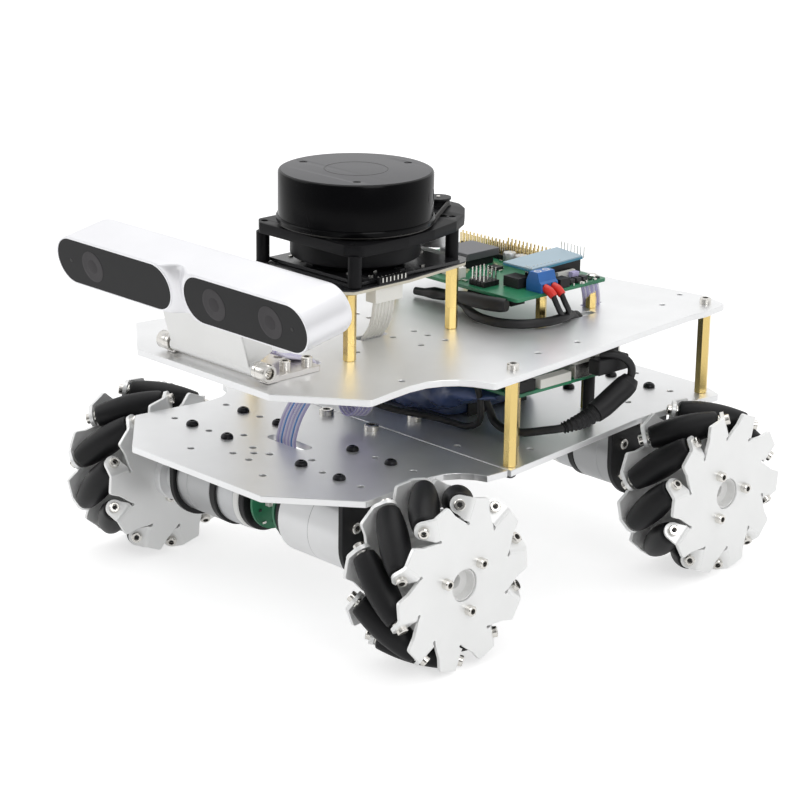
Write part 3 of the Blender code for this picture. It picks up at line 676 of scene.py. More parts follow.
def build_decks():
    """The two lower decks with their pivot blocks, the upper deck, and the posts between."""
    bottom = LOWER_TOP - DECK_T
    front = Piece("front_lower_deck")
    spots = both([(64, -100.7), (39, -100.6), (64, -69.3), (39.5, -69.3), (24.8, -122.9)])
    spots += [(-23.4, -92.8), (-7.1, -101.3), (-0.9, -106), (-7.1, -113.1), (4.9, -101.6),
              (4.5, -113.6), (23.4, -92.8)]
    holes = [circle(x, y, 1.6) for x, y in spots]
    holes.append(slot_outline(-12.0, -83.8, 8.0, -83.8, 7.0))
    front.plate(rounded(mirrored(FRONT_HALF)), holes, bottom, LOWER_TOP, DECK)
    painted_hole_shade(front, spots, bottom)
    front.finish("front_axle", ("front_lower_plate",), angle=12)
    block = Piece("front_pivot_block")
    block.box((-22, -57, 54), (22, -41.5, bottom + 0.05), DECK)
    block.lathe([(4.15, -3), (6.6, -3), (6.6, 19), (4.15, 19)], BRASS,
                towards(ALONG_Y, (0, -57.3, PIVOT_Z)), 32)
    for x in (-21.5, 9.6):
        block.screw((x, -43.5, LOWER_TOP - 0.05), UP, 3.5, 2.8, socket=1.8)
    block.finish("front_axle", bevel=0.5)

    rear = Piece("rear_lower_deck")
    spots = both([(59.4, 78.7), (61.1, 107.7), (38, 74), (38, 105), (12, 96), (30, 118)])
    spots += both([(77, -8), (52, -30), (60, 40)])
    holes = [circle(x, y, 1.6) for x, y in spots]
    holes.append(slot_outline(-14, 92, 14, 92, 7))
    rear.plate(rounded(mirrored(REAR_HALF)), holes, bottom, LOWER_TOP, DECK)
    painted_hole_shade(rear, spots, bottom)
    rear.finish("chassis", ("rear_lower_plate",), angle=12)
    block = Piece("rear_pivot_block")
    block.box((-22, -32.5, 54), (22, -17, bottom + 0.05), DECK)
    block.rod(4.0, -41.5, 4, NICKEL, towards(ALONG_Y, (0, -18, PIVOT_Z)), 32)
    block.rod(6.2, -44.6, -41.6, NICKEL, towards(ALONG_Y, (0, -15, PIVOT_Z)), 6)
    for x in (-18.5, 12.5):
        block.screw((x, -18.6, LOWER_TOP - 0.05), UP, 3.5, 2.8, socket=1.8)
    block.finish("chassis", bevel=0.5)

    upper = Piece("upper_deck")
    spots = [(15.9, -36.7), (15, -22.5), (24, -22.3), (35, -22.1), (33.6, -36.1), (22.9, -65.6),
             (68, -80.9), (77.2, -5.2), (76.7, 21.2), (53.3, 121), (-15, -22.5), (-24, -22.3),
             (-35, -22.1), (-68, -80.9), (-77.2, -5.2), (-76.7, 21.2), (-53.3, 121), (60, 100),
             (-60, 100), (-60, -60)]
    holes = [circle(x, y, 1.5) for x, y in spots]
    for slot in ((8.0, -49.0, 8.0, -37.5, 6.6), (46.4, 51.0, 46.4, 63.0, 5.0),
                 (44.0, 34.0, 46.5, 37.6, 4.0), (24.0, 9.5, 36.0, 19.0, 3.4),
                 (36.0, 71.0, 36.0, 80.0, 4.2), (-22.0, -91.6, 22.0, -91.6, 7.5)):
        holes.append(slot_outline(*slot))
    upper.plate(rounded(mirrored(UPPER_HALF)), holes, UPPER_TOP - DECK_T, UPPER_TOP, DECK)
    painted_hole_shade(upper, spots, UPPER_TOP - DECK_T, 1.52)
    upper.finish("chassis", ("upper_plate",), angle=12)

    post_spots = both([(87.4, -32.0), (71.9, 117.8)])
    posts = Piece("deck_standoffs")
    for x, y in post_spots:
        posts.hexagon((x, y), LOWER_TOP + 0.02, UPPER_TOP - DECK_T - 0.02, 5.6, BRASS)
    posts.finish("chassis")
    screws = Piece("deck_screws")
    for x, y in post_spots:
        screws.screw((x, y, UPPER_TOP - 0.05), UP, 2.75, 2.9, socket=1.4)
        screws.button((x, y, LOWER_TOP - DECK_T + 0.05), DOWN, 2.9, 2.4)
    screws.finish("chassis")


# Lidar ---------------------------------------------------------------------------------------
def build_lidar():
    """The lidar on its own small deck, with the belt drive behind it."""
    deck = Piece("lidar_deck_plate")
    outline = rounded(mirrored(((31, -81.5, 2.5), (34.5, -78, 2.5), (34.5, -45, 0), (29, -4, 3),
                                (24, 1.5, 3))))
    corners = both([(30.5, -77.2), (22.6, -6.0)])
    deck.plate(outline, [], LIDAR_DECK_Z, LIDAR_DECK_Z + 1.35, PALE_LAMINATE, 0.12)
    deck.plate(outline, [], LIDAR_DECK_Z + 1.36, LIDAR_DECK_Z + 1.98, DARK_LAMINATE, 0.1)
    deck.finish("chassis", ("lidar_deck",), angle=12)
    legs = Piece("lidar_standoffs")
    for x, y in corners:
        legs.hexagon((x, y), UPPER_TOP + 0.02, LIDAR_DECK_Z - 0.02, 5.2, BRASS)
    legs.finish("chassis")

    low, high = 166.0, 171.0
    base_half = ((28.4, -79.0, 2), (34.9, -74.0, 3), (35.1, -64.0, 2), (35.1, -46.0, 6),
                 (32.9, -28.0, 6), (27.8, -9.0, 5), (20.7, 3.1, 5), (11.3, 12.9, 5), (3.0, 17.6, 4))
    ring = Piece("lidar_frame")
    cut = [circle(0, LIDAR_Y, 29.6, 64)]
    cut += [circle(x, y, 1.5) for x, y in both([(29.8, -74.6), (19.6, -3.8)])]
    cut += [slot_outline(-16, -6.5, 16, -6.5, 4.0)]
    ring.plate(rounded(mirrored(base_half)), cut, low, high, BLACK_FRAME, 0.45)
    turret = towards(UP, (0, LIDAR_Y, 0))
    ring.lathe([(6.4, 153.5), (21.5, 153.5), (23.8, 155.4), (28.4, 156.8), (29.5, 157.3),
                (29.8, 158.0), (29.8, 167.0), (6.4, 167.0)], BLACK_FRAME, turret, 72)
    for x, y in both([(30.8, -74.8), (23.0, -7.0)]):
        ring.rod(3.1, LIDAR_DECK_Z + 2.3, low + 0.2, BLACK_FRAME, shift(x, y, 0), 20)
    ring.finish("chassis", ("lidar_base",), angle=38)

    drive = Piece("lidar_drive_motor")
    drive.rod(9.0, 153.2, 165.9, MOTOR_SILVER, shift(0, 5.0, 0), 36)
    drive.lathe([(1.2, 170.9), (6.0, 170.9), (6.0, 171.7), (4.4, 172.0), (4.4, 174.0), (6.0, 174.3),
                 (6.0, 175.2), (1.2, 175.2)], BLACK_MOULD, shift(0, PULLEY_Y, 0), 32)
    drive.rod(1.0, 166, 175.8, NICKEL, shift(0, PULLEY_Y, 0), 16)
    drive.finish("chassis")
    belt = Piece("drive_belt")
    far, near, level = 34.9, 5.0, 173.0
    lean = math.acos((far - near) / (PULLEY_Y - LIDAR_Y))
    loop = arc(0, LIDAR_Y, far, math.pi / 2 + lean, 2 * math.pi - 2 * lean, 60)
    loop += arc(0, PULLEY_Y, near, math.pi / 2 - lean, 2 * lean, 12)
    n = len(loop)
    middle = [Vector((x, y, 0)) for x, y in loop]
    verts = []
    for i, p in enumerate(middle):
        along = (middle[(i + 1) % n] - middle[i - 1]).normalized()
        out = Vector((along.y, -along.x, 0))
        verts += [p + out * o + Vector((0, 0, level + h)) for o, h in
                  ((-0.35, -1.1), (0.35, -1.1), (0.35, 1.1), (-0.35, 1.1))]
    belt.add(verts, bands(n, 4, closed=True), BELT)
    belt.finish("chassis")

    board = Piece("lidar_board")
    top = LIDAR_DECK_Z + 2.3
    board.box((-30.5, -71.5, top), (30.5, -9.2, top + 1.5), DARK_LAMINATE)
    board.box((33.0, -63.0, top - 0.2), (34.3, -46, top + 2.8), BLACK_MOULD)
    for k in range(7):
        y = -61.5 + 2.3 * k
        board.box((31.6, y - 0.32, top + 2.2), (34.9, y + 0.32, top + 2.8), PIN_METAL)
        board.box((34.4, y - 0.32, top + 0.6), (35.0, y + 0.32, top + 2.8), PIN_METAL)
    random.seed(7)
    for _ in range(42):
        x, y = random.uniform(-28, 28), random.uniform(-69, -12)
        w, d = random.choice(((1.0, 0.6), (0.6, 1.0), (2.2, 1.4)))
        board.box((x - w, y - d, top + 1.4), (x + w, y + d, top + 2.1),
                  PIN_METAL if w < 2 else CHIP)
    board.finish("chassis", bevel=0.1)

    head = Piece("lidar_housing")
    low, high = 171.9, 195.9
    head.lathe([(0, low - 16), (6.0, low - 16), (6.0, low), (34.6, low), (36.0, low + 1.0),
                (36.15, low + 2.6), (35.9, low + 3.1), (35.3, low + 3.3), (35.3, high - 1.2),
                (34.9, high - 0.45), (34.2, high - 0.1), (0, high - 0.1)], LIDAR_SIDE, turret, 128)
    head.finish("lidar_rotor", ("lidar_head",), angle=30)
    cap = Piece("lidar_top_cap", turret)
    spots = arc(0, 0, 27.5, math.radians(-102), math.radians(240), 2)
    cap.plate(circle(0, 0, 34.0, 128), [circle(x, y, 1.9) for x, y in spots],
              high - 0.25, high + 0.02, LIDAR_TOP_AND_SHEEN, 0.08)
    cap.lathe([(14.1, high - 0.1), (14.6, high - 0.1), (14.6, high + 0.09), (14.1, high + 0.09)],
              LIDAR_SIDE, None, 96)
    for x, y in spots:
        cap.lathe([(0, high - 0.24), (1.6, high - 0.24), (1.6, high - 0.12), (0.8, high - 0.12),
                   (0, high - 0.14)], BLACK_SCREW, shift(x, y, 0), 16)
    cap.finish("lidar_rotor")
    window = Piece("lidar_windows", turret)
    for azimuth in (212, 241):
        a = math.radians(azimuth)
        out = Vector((math.cos(a), math.sin(a), 0))
        at = out * 34.6 + Vector((0, 0, (low + high) / 2 + 1.5))
        window.lathe([(0, 0), (4.6, 0), (4.6, 0.55), (3.9, 0.75), (3.7, 0.35), (0, 0.35)],
                     LENS, towards(out, at), 36)
    window.finish("lidar_rotor")


# Depth camera and its stand ------------------------------------------------------------------
def smooth_step(t):
    """Goes from 0 to 1 with level ends."""
    t = min(1.0, max(0.0, t))
    return t * t * (3 - 2 * t)


def build_camera():
    """The depth camera, the folded leaf that holds it and the hinge on the deck."""
    up = Vector((0, math.sin(CAM_TILT), math.cos(CAM_TILT)))
    back = Vector((0, math.cos(CAM_TILT), -math.sin(CAM_TILT)))
    face = Vector((0, CAM_FACE[0], CAM_FACE[1])) + back * 0.35
    place = Matrix((Vector((1, 0, 0)), up, -back)).transposed().to_4x4()
    place.translation = face
    half_w, half_h, depth = 84.6, 11.4, 25.4
    straight = half_w - half_h
    stations = [-half_w + half_h * (1 - math.cos(math.pi / 2 * k / 12)) for k in range(13)]
    stations += [-straight + 2 * straight * k / 84 for k in range(1, 84)]
    stations += [half_w - half_h * (1 - math.cos(math.pi / 2 * k / 12)) for k in range(12, -1, -1)]

    def nose(x, h):
        """How far the face has fallen back from the windows' plane at (x, h)."""
        gaps = []
        for x0, x1 in WINDOWS:
            middle = max(x0 + WINDOW_R, min(x1 - WINDOW_R, x))
            gaps.append(math.hypot(x - middle, h) - WINDOW_R)
        return 4.2 * smooth_step((min(gaps) - 0.7) / 7.0)

    rows = 28
    body = Piece("camera_body", place)
    verts = []
    for x in stations:
        reach = math.sqrt(max(0.0, half_h ** 2 - max(0.0, abs(x) - straight) ** 2))
        heights = [reach * math.sin(math.pi / 2 * (2 * j / rows - 1)) for j in range(rows + 1)]
        ring = [(x, h, -nose(x, h) - 0.25 * smooth_step((abs(h) / half_h - 0.96) / 0.04))
                for h in heights]
        edge = ring[-1][2]
        back_side = []
        for at, scale in ((12.0, 1.0), (18.0, 1.0), (22.0, 1.0), (23.6, 0.985), (24.8, 0.95),
                          (depth, 0.88)):
            back_side.append((x - (1 - scale) * x * 0.14, reach * scale, -at))
        first = edge - 0.5
        side = [(x, reach, first), (x, reach, first - 2.5)] + back_side
        ring += side + [(px, -h, pz) for px, h, pz in reversed(side)]
        verts += ring
    body.add(verts, bands(len(stations), len(ring)), CAM_SILVER)
    body.finish("camera_head", ("depth_camera",), angle=28)

    glass = Piece("camera_windows", place)
    for x0, x1 in WINDOWS:
        r = WINDOW_R - 0.15
        pill = slot_outline(x0 + WINDOW_R, 0, x1 - WINDOW_R, 0, 2 * r, 24)
        glass.prism(pill, -0.3, 0.12, CAM_WINDOW)
        rim = slot_outline(x0 + WINDOW_R, 0, x1 - WINDOW_R, 0, 2 * WINDOW_R + 0.9, 24)
        verts = [(x, y, z) for z in (-0.2, 0.26) for loop in (rim, pill) for x, y in loop]
        k = len(pill)
        faces = []
        for i in range(k):
            j = (i + 1) % k
            faces += [[i, j, k + j, k + i], [2 * k + i, 3 * k + i, 3 * k + j, 2 * k + j],
                      [i, 2 * k + i, 2 * k + j, j], [k + i, k + j, 3 * k + j, 3 * k + i]]
        glass.add(verts, faces, CAM_SILVER)
    glass.finish("camera_head")
    lenses = Piece("camera_lenses", place)
    for x in (-58.8, 25.1, 61.2):
        lenses.lathe([(0, 0.13), (6.9, 0.13), (7.3, 0.16), (7.3, 0.22), (7.0, 0.27), (6.2, 0.24),
                      (0, 0.24)], LENS, shift(x, 0, 0), 48)
        lenses.lathe([(0, 0.2), (3.2, 0.2), (3.2, 0.27), (2.9, 0.3), (0, 0.3)], LENS_CORE,
                     shift(x, 0, 0), 32)
    for x in (-74.6, 74.8):
        lenses.disc(0.9, 0.1, 0.2, BLACK_AND_PAINTED_SHADE, shift(x, 0, 0))
    lenses.finish("camera_head")

    hy, hz = HINGE
    leaf = Piece("camera_leaf")
    fold_top, fold_low, thick = Vector((0, -138.2, 145.0)), Vector((0, -131.6, 122.6)), 1.25
    down = (fold_low - fold_top).normalized()
    inward = Vector((0, -down.z, down.y))
    sheet = [fold_top, fold_low, fold_low + inward * thick, fold_top + inward * thick]
    leaf.prism([(p.y, p.z) for p in sheet], -LEAF_HALF, LEAF_HALF, WHITE_PAINT, X_PLATE)
    flank = [(p.y, p.z) for p in (fold_top + inward * 0.4, fold_low + inward * 0.4)]
    flank += [(-128.4, 125.9), (-118.8, 130.0), (-121.0, 146.0), (-133.0, 148.0)]
    for side in (1, -1):
        x0, x1 = sorted((side * LEAF_HALF, side * (LEAF_HALF - thick)))
        leaf.prism(flank, x0, x1, WHITE_PAINT, X_PLATE)
    shelf = [(-137.6, 144.6), (-121.6, 148.0), (-121.8, 149.4), (-137.8, 147.2)]
    leaf.prism(shelf, -26.0, 26.0, WHITE_PAINT, X_PLATE)
    leaf.lathe([(1.7, -27.8), (3.3, -27.8), (3.3, 27.8), (1.7, 27.8)], WHITE_PAINT,
               towards(ALONG_X, (0, hy, hz)), 32)
    leaf.finish("camera_head", bevel=0.35)

    stand = Piece("camera_base")
    low = UPPER_TOP + 0.05
    stand.plate(rounded([(-34, -124.4, 1.5), (34, -124.4, 1.5), (34, -97, 2), (-34, -97, 2)]),
                [circle(x, y, 2.0) for x, y in both([(12, -103), (12, -117)])],
                low, low + 2.5, PLATED, 0.3)
    for side in (1, -1):
        x0, x1 = sorted((side * 29.0, side * 34.6))
        stand.box((x0, hy + 0.6, low + 0.2), (x1, -122, low + 3.2), PLATED)
    stand.finish("chassis", ("camera_stand",), bevel=0.25, angle=15)
    hinge = Piece("camera_hinge")
    for side in (1, -1):
        pin = towards((side, 0, 0), (0, hy, hz))
        hinge.lathe([(1.6, 28.5), (3.8, 28.5), (4.0, 28.8), (4.0, 30.4), (3.7, 30.6), (3.7, 31.0),
                     (4.0, 31.2), (4.0, 36.0), (3.7, 36.5), (2.6, 36.5), (2.5, 33.6), (1.6, 33.6)],
                    NICKEL, pin, 40)
        hinge.lathe([(0, 33.4), (2.0, 33.4), (2.0, 35.6), (1.3, 35.9), (1.2, 34.4), (0, 34.4)],
                    NICKEL, pin, 24)
    hinge.rod(1.5, -33.5, 33.5, NICKEL, towards(ALONG_X, (0, hy, hz)), 20)
    for x, y in both([(29.4, -114.2), (31.0, -103.0)]):
        hinge.screw((x, y, low + 2.45), UP, 2.5, 4.6, socket=1.3)
    hinge.finish("chassis")


# Boards, battery and cables ------------------------------------------------------------------
def pin_header(piece, x, y, columns, rows, z, metal=None):
    """A black pin header with its pins standing up, at the usual 2.54 mm pitch."""
    for i in range(columns):
        for j in range(rows):
            px, py = x + 2.54 * i, y + 2.54 * j
            piece.box((px - 1.2, py - 1.2, z), (px + 1.2, py + 1.2, z + 2.5), BLACK_MOULD)
            piece.box((px - 0.32, py - 0.32, z + 2.4), (px + 0.32, py + 0.32, z + 8.4),
                      metal or PIN_METAL)


def chip(piece, x, y, w, d, z, h, legs=0):
    """A black package, with legs along two sides if asked."""
    piece.box((x - w / 2, y - d / 2, z + 0.2), (x + w / 2, y + d / 2, z + h), CHIP)
    for k in range(legs):
        t = -w / 2 + w * (k + 0.5) / legs
        for side in (1, -1):
            y0, y1 = sorted((y + side * d / 2, y + side * (d / 2 + 1.3)))
            piece.box((x + t - 0.22, y0, z), (x + t + 0.22, y1, z + 0.5), PIN_METAL)


def scatter(piece, box, z, count, seed):
    """Small surface parts strewn over a board."""
    random.seed(seed)
    x0, y0, x1, y1 = box
    for _ in range(count):
        x, y = random.uniform(x0, x1), random.uniform(y0, y1)
        w, d = random.choice(((0.9, 0.5), (0.5, 0.9), (1.4, 0.8), (0.8, 1.4)))
        piece.box((x - w, y - d, z), (x + w, y + d, z + 0.8),
                  random.choice((PIN_METAL, CHIP, WHITE_PLASTIC, BOARD_EDGE)))


TERMINAL_POLES = (31.9, 37.5)
CONTROLLER_FEET = ((-41, 17.5), (-41, 70), (41, 35.0), (41, 70))


def build_controller():
    """The upper circuit board with its parts, daughterboard, terminal and leads."""
    top = CONTROLLER_TOP
    board = Piece("controller_board_base")
    outline = rounded([(-46, 13, 2), (46.4, 13, 2), (46.4, 74.4, 2), (-46, 74.4, 2)])
    board.plate(outline, [circle(x, y, 1.6) for x, y in CONTROLLER_FEET],
                132.2, top, BOARD, 0.1)
    board.finish("chassis", ("controller_board",), angle=12)
    feet = Piece("controller_standoffs")
    for x, y in CONTROLLER_FEET:
        feet.hexagon((x, y), UPPER_TOP + 0.02, 132.15, 4.6, BRASS)
        if y != 35.0:
            feet.nut(x, y, top - 0.05)
    feet.finish("chassis")

    parts = Piece("controller_parts")
    pin_header(parts, -40, 22, 9, 2, top)
    pin_header(parts, 13.0, 17.4, 4, 4, top)
    pin_header(parts, -42, 62, 22, 1, top, metal=PIN_GOLD)
    pin_header(parts, -42, 66, 22, 1, top, metal=PIN_GOLD)
    pin_header(parts, -16, 71.5, 12, 1, top, metal=PIN_GOLD)
    chip(parts, 29, 30.6, 9.6, 8.2, top, 5.0)
    chip(parts, -20, 28, 12, 8, top, 1.6, 9)
    chip(parts, 0, 46, 6, 5, top, 1.5, 4)
    chip(parts, -34, 38, 7, 5, top, 1.6, 4)
    parts.box((40.6, 42.4, top), (46.0, 49.0, top + 4.4), BLACK_MOULD)
    parts.box((35.6, 50.0, top), (37.4, 62.0, top + 4.6), WHITE_PLASTIC)
    for k in range(3):
        chip(parts, 42.6, 52.6 + 4.4 * k, 3.8, 3.2, top, 2.6, 2)
        parts.box((44.8, 51.4 + 4.4 * k, top), (46.2, 52.1 + 4.4 * k, top + 1.2), PIN_METAL)
    parts.box((38.6, 56.0, top), (41.2, 60.6, top + 4.6), RIBBON_PURPLE)
    parts.box((-12, 20, top), (2, 24, top + 5), WHITE_PLASTIC)
    for k in range(3):
        parts.lathe([(0, 0), (3.0, 0), (3.2, 0.5), (3.2, 5.4), (2.9, 6.0), (0, 6.0)], CAN_SILVER,
                    shift(-2 + 8 * k, 58, top), 24)
    scatter(parts, (-44, 15, 7, 60), top, 70, 11)
    scatter(parts, (38.5, 30, 45.5, 72), top, 24, 12)
    parts.finish("chassis", bevel=0.08)

    sky = Piece("daughterboard")
    corners = [(19.0, 31.4), (37.9, 31.4), (35.6, 69.0), (16.0, 72.0)]
    sky.prism(corners, 141.9, 143.0, SKY_EDGE)
    sky.prism([(x * 0.995 + 0.1, y * 0.995 + 0.2) for x, y in corners], 142.9, 143.6, SKY_BOARD)
    for k in range(8):
        sky.box((19.0 + 2.1 * k, 71.3, 141.6), (19.4 + 2.1 * k, 71.8, 147.0), PIN_METAL)
        sky.box((34.0, 36 + 2.54 * k, 143.5), (34.6, 36.6 + 2.54 * k, 143.9), PIN_METAL)
    for k in range(4):
        sky.box((33.4 + 1.2 * k, 31.6, 141.0), (33.8 + 1.2 * k, 32.0, 144.6), PIN_METAL)
    sky.box((29.0, 36, 134.9), (34.6, 68.6, 141.9), BLACK_MOULD)
    sky.finish("chassis", bevel=0.12)

    terminal = Piece("power_terminal")
    profile = [(0, 0), (9.6, 0), (9.6, 4.4), (8.4, 5.2), (7.0, 9.4), (1.8, 9.4), (0, 4.8)]
    terminal.prism(profile, 0, 11.4, TERMINAL, Matrix(((1, 0, 0, 36.6), (0, 0, 1, 29.0),
                                                       (0, 1, 0, top), (0, 0, 0, 1))))
    for y in TERMINAL_POLES:
        terminal.lathe([(0, 0), (1.85, 0), (1.85, 0.25), (1.3, 0.3), (1.2, 0.1), (0, 0.1)],
                       PIN_METAL, shift(41.0, y, top + 9.2), 20)
        terminal.box((46.0, y - 1.8, top + 0.9), (46.35, y + 1.8, top + 4.0), BLACK_MOULD)
    terminal.finish("chassis", bevel=0.25)
    leads = Piece("power_leads")
    for k, y in enumerate(TERMINAL_POLES):
        leads.tube([(45.6, y, top + 2.4), (48.6, y + 0.3, top + 1.2), (51.2, y + 0.6, top - 0.9)],
                   [1.9, 2.2, 1.9], RED, 16, 4)
        leads.tube([(50.6, y + 0.5, top - 0.3), (52.2, y + 1.6, top - 4.6), (51.6, y + 5.0, top - 9.2),
                    (49.0, y + 10.5 - 3 * k, UPPER_TOP + 2.4), (46.8, 50 + 3.0 * k, UPPER_TOP + 1.5),
                    (45.9, 55.0 + 2.0 * k, UPPER_TOP - 1.0)], 1.35, CABLE, 12)
    leads.finish("chassis")

    usb = Piece("usb_leads")
    usb.box((24.6, 23.5, 125.8), (32.6, 32.6, 131.6), BLACK_MOULD)
    usb.tube([(29.0, 28.0, 128.6), (25.4, 26.8, 128.2), (20.0, 25.5, 127.6), (12.0, 24.6, 127.0),
              (5.0, 23.6, 126.8)], [3.3, 3.9, 3.8, 3.3, 2.2], CABLE, 16)
    usb.tube([(40.5, 12.2, 130.2), (37.0, 11.2, 129.8), (30.0, 10.8, 129.2), (22.0, 10.8, 128.8),
              (14.0, 11.6, 128.4), (8.0, 13.2, 127.8)], [2.9, 3.4, 3.5, 3.3, 3.2, 2.4], CABLE, 18)
    usb.tube([(9.0, 13.0, 127.9), (3.0, 15.2, 127.2), (-1.6, 18.6, 125.4), (-1.2, 21.6, 123.2),
              (5.0, 20.6, 121.6), (14.0, 14.8, 121.3), (25.0, 10.6, 121.3), (36.5, 11.0, 121.3),
              (45.4, 17.0, 121.3), (50.4, 28.0, 121.3), (50.6, 40.0, 121.3), (47.4, 48.6, 120.6),
              (46.2, 53.5, 117.2)], 2.25, CABLE, 14)
    usb.tube([(-29.1, 21.0, 121.4), (-24.0, 21.8, 121.6), (-18.0, 22.8, 122.2), (-12.0, 23.6, 122.4),
              (-6.0, 22.0, 123.2), (0.0, 18.6, 122.6)], [1.9, 2.0, 3.0, 2.8, 1.9, 1.8], CABLE, 14)
    usb.finish("chassis", bevel=0.3)
    module = Piece("grey_module")
    module.box((-26, 34.0, top + 4.2), (-7, 56, top + 7.8), GREY_MODULE)
    module.box((-24, 36, top - 0.1), (-9, 54, top + 4.3), BLACK_MOULD)
    module.finish("chassis", bevel=0.3)


def ribbon(piece, path, width, across, colours):
    """Flat cable: coloured cores side by side along a smooth path."""
    count = len(colours)
    step = width / count
    across = Vector(across).normalized()
    for i, colour in enumerate(colours):
        offset = across * (-width / 2 + step * (i + 0.5))
        piece.tube([Vector(p) + offset for p in path], step * 0.52, colour, 6, 5)


def build_ribbons():
    """Flat cables between the decks and boards."""
    colours = [RIBBON_PALE, RIBBON_PURPLE, RIBBON_PALE, RIBBON_BLUE, RIBBON_PALE, RIBBON_PURPLE]
    purple = [RIBBON_PURPLE, RIBBON_PALE] * 4
    front = Piece("front_ribbon_cable")
    ribbon(front, [(-4, -84.0, 71.8), (-4, -84.0, 76.0), (-3, -81.0, 86.0), (-1, -74.0, 97.0),
                   (0, -66.0, 106.0), (0, -56.0, 112.0), (0, -40.0, 113.8), (0, -20.0, 113.0)],
           12.0, (1, 0.1, 0), colours * 2)
    front.finish("chassis")
    spare = Piece("spare_ribbon_cable")
    ribbon(spare, [(-8, -36, 112), (-8, -42, 98), (-6, -45, 84), (0, -46, 79.5),
                   (6, -45, 84), (8, -42, 98), (8, -36, 112)],
           8.0, (0.6, 0.8, 0), purple)
    spare.finish("chassis")
    white = Piece("lidar_lead")
    ribbon(white, [(30.6, -56.4, 144.4), (28.8, -55.4, 139.6), (25.6, -53.2, 134.0),
                   (20.0, -49.6, 127.6), (12.6, -45.6, 121.6), (8.0, -43.4, 117.4)],
           12.4, (0.02, 1, 0), [WHITE_PLASTIC] * 6)
    white.box((27.0, -64.4, 143.0), (33.4, -48.0, 149.4), WHITE_PLASTIC)
    white.finish("chassis")
    rear = Piece("camera_lead")
    ribbon(rear, [(18.0, -113.0, 127.5), (18.4, -107.5, 124.6), (19.0, -100.5, 122.6),
                  (19.4, -95.0, 121.4), (19.6, -92.0, 118.4), (19.6, -91.5, 113.5)],
           10.0, (1, 0.1, 0), purple)
    rear.finish("chassis")
    side = Piece("board_ribbon_cable")
    ribbon(side, [(43.0, 66.0, 131.6), (42.4, 68.0, 127.0), (39.4, 72.0, 122.0),
                  (36.2, 75.6, 116.5)], 9.5, (0.35, 1, 0), purple)
    side.finish("chassis")


def build_battery():
    """The battery in its shrink film, under two straps."""
    pack = Piece("battery_wrap")
    low, high = LOWER_TOP + 0.1, 95.3
    rows, columns, boxiness = 22, 34, 0.32
    x0, x1, y0, y1 = -44.8, 24.8, -8.8, 55.8
    verts = []
    for i in range(columns + 1):
        t = i / columns
        x = x0 + (x1 - x0) * t
        end = min(t, 1 - t) * columns
        squeeze = min(1.0, 0.80 + 0.20 * math.sqrt(min(1.0, end / 3)))
        for k in range(rows):
            a = 2 * math.pi * k / rows
            c, s = math.cos(a), math.sin(a)
            y = (y0 + y1) / 2 + (y1 - y0) / 2 * squeeze * math.copysign(abs(c) ** boxiness, c)
            z = (low + high) / 2 + (high - low) / 2 * squeeze * math.copysign(abs(s) ** boxiness, s)
            verts.append((x, y, z))
    faces = [list(range(rows)), list(range(columns * rows, (columns + 1) * rows))]
    pack.add(verts, faces + bands(columns + 1, rows), WRAP)
    obj = pack.finish("chassis", ("battery_pack",), angle=60)
    smooth = obj.modifiers.new("soft", "SUBSURF")
    smooth.levels = smooth.render_levels = 1
    straps = Piece("battery_straps")
    for y in (10.0, 38.0):
        loop = ((-45.0, low + 0.2), (-45.0, 95.0), (25.0, 95.0), (25.0, low + 0.2))
        for (xa, za), (xb, zb) in zip(loop, loop[1:]):
            straps.box((min(xa, xb) - 0.2, y - 6, min(za, zb) - 0.2),
                       (max(xa, xb) + 0.2, y + 6, max(za, zb) + 0.4), CABLE)
    straps.finish("chassis", bevel=0.2)


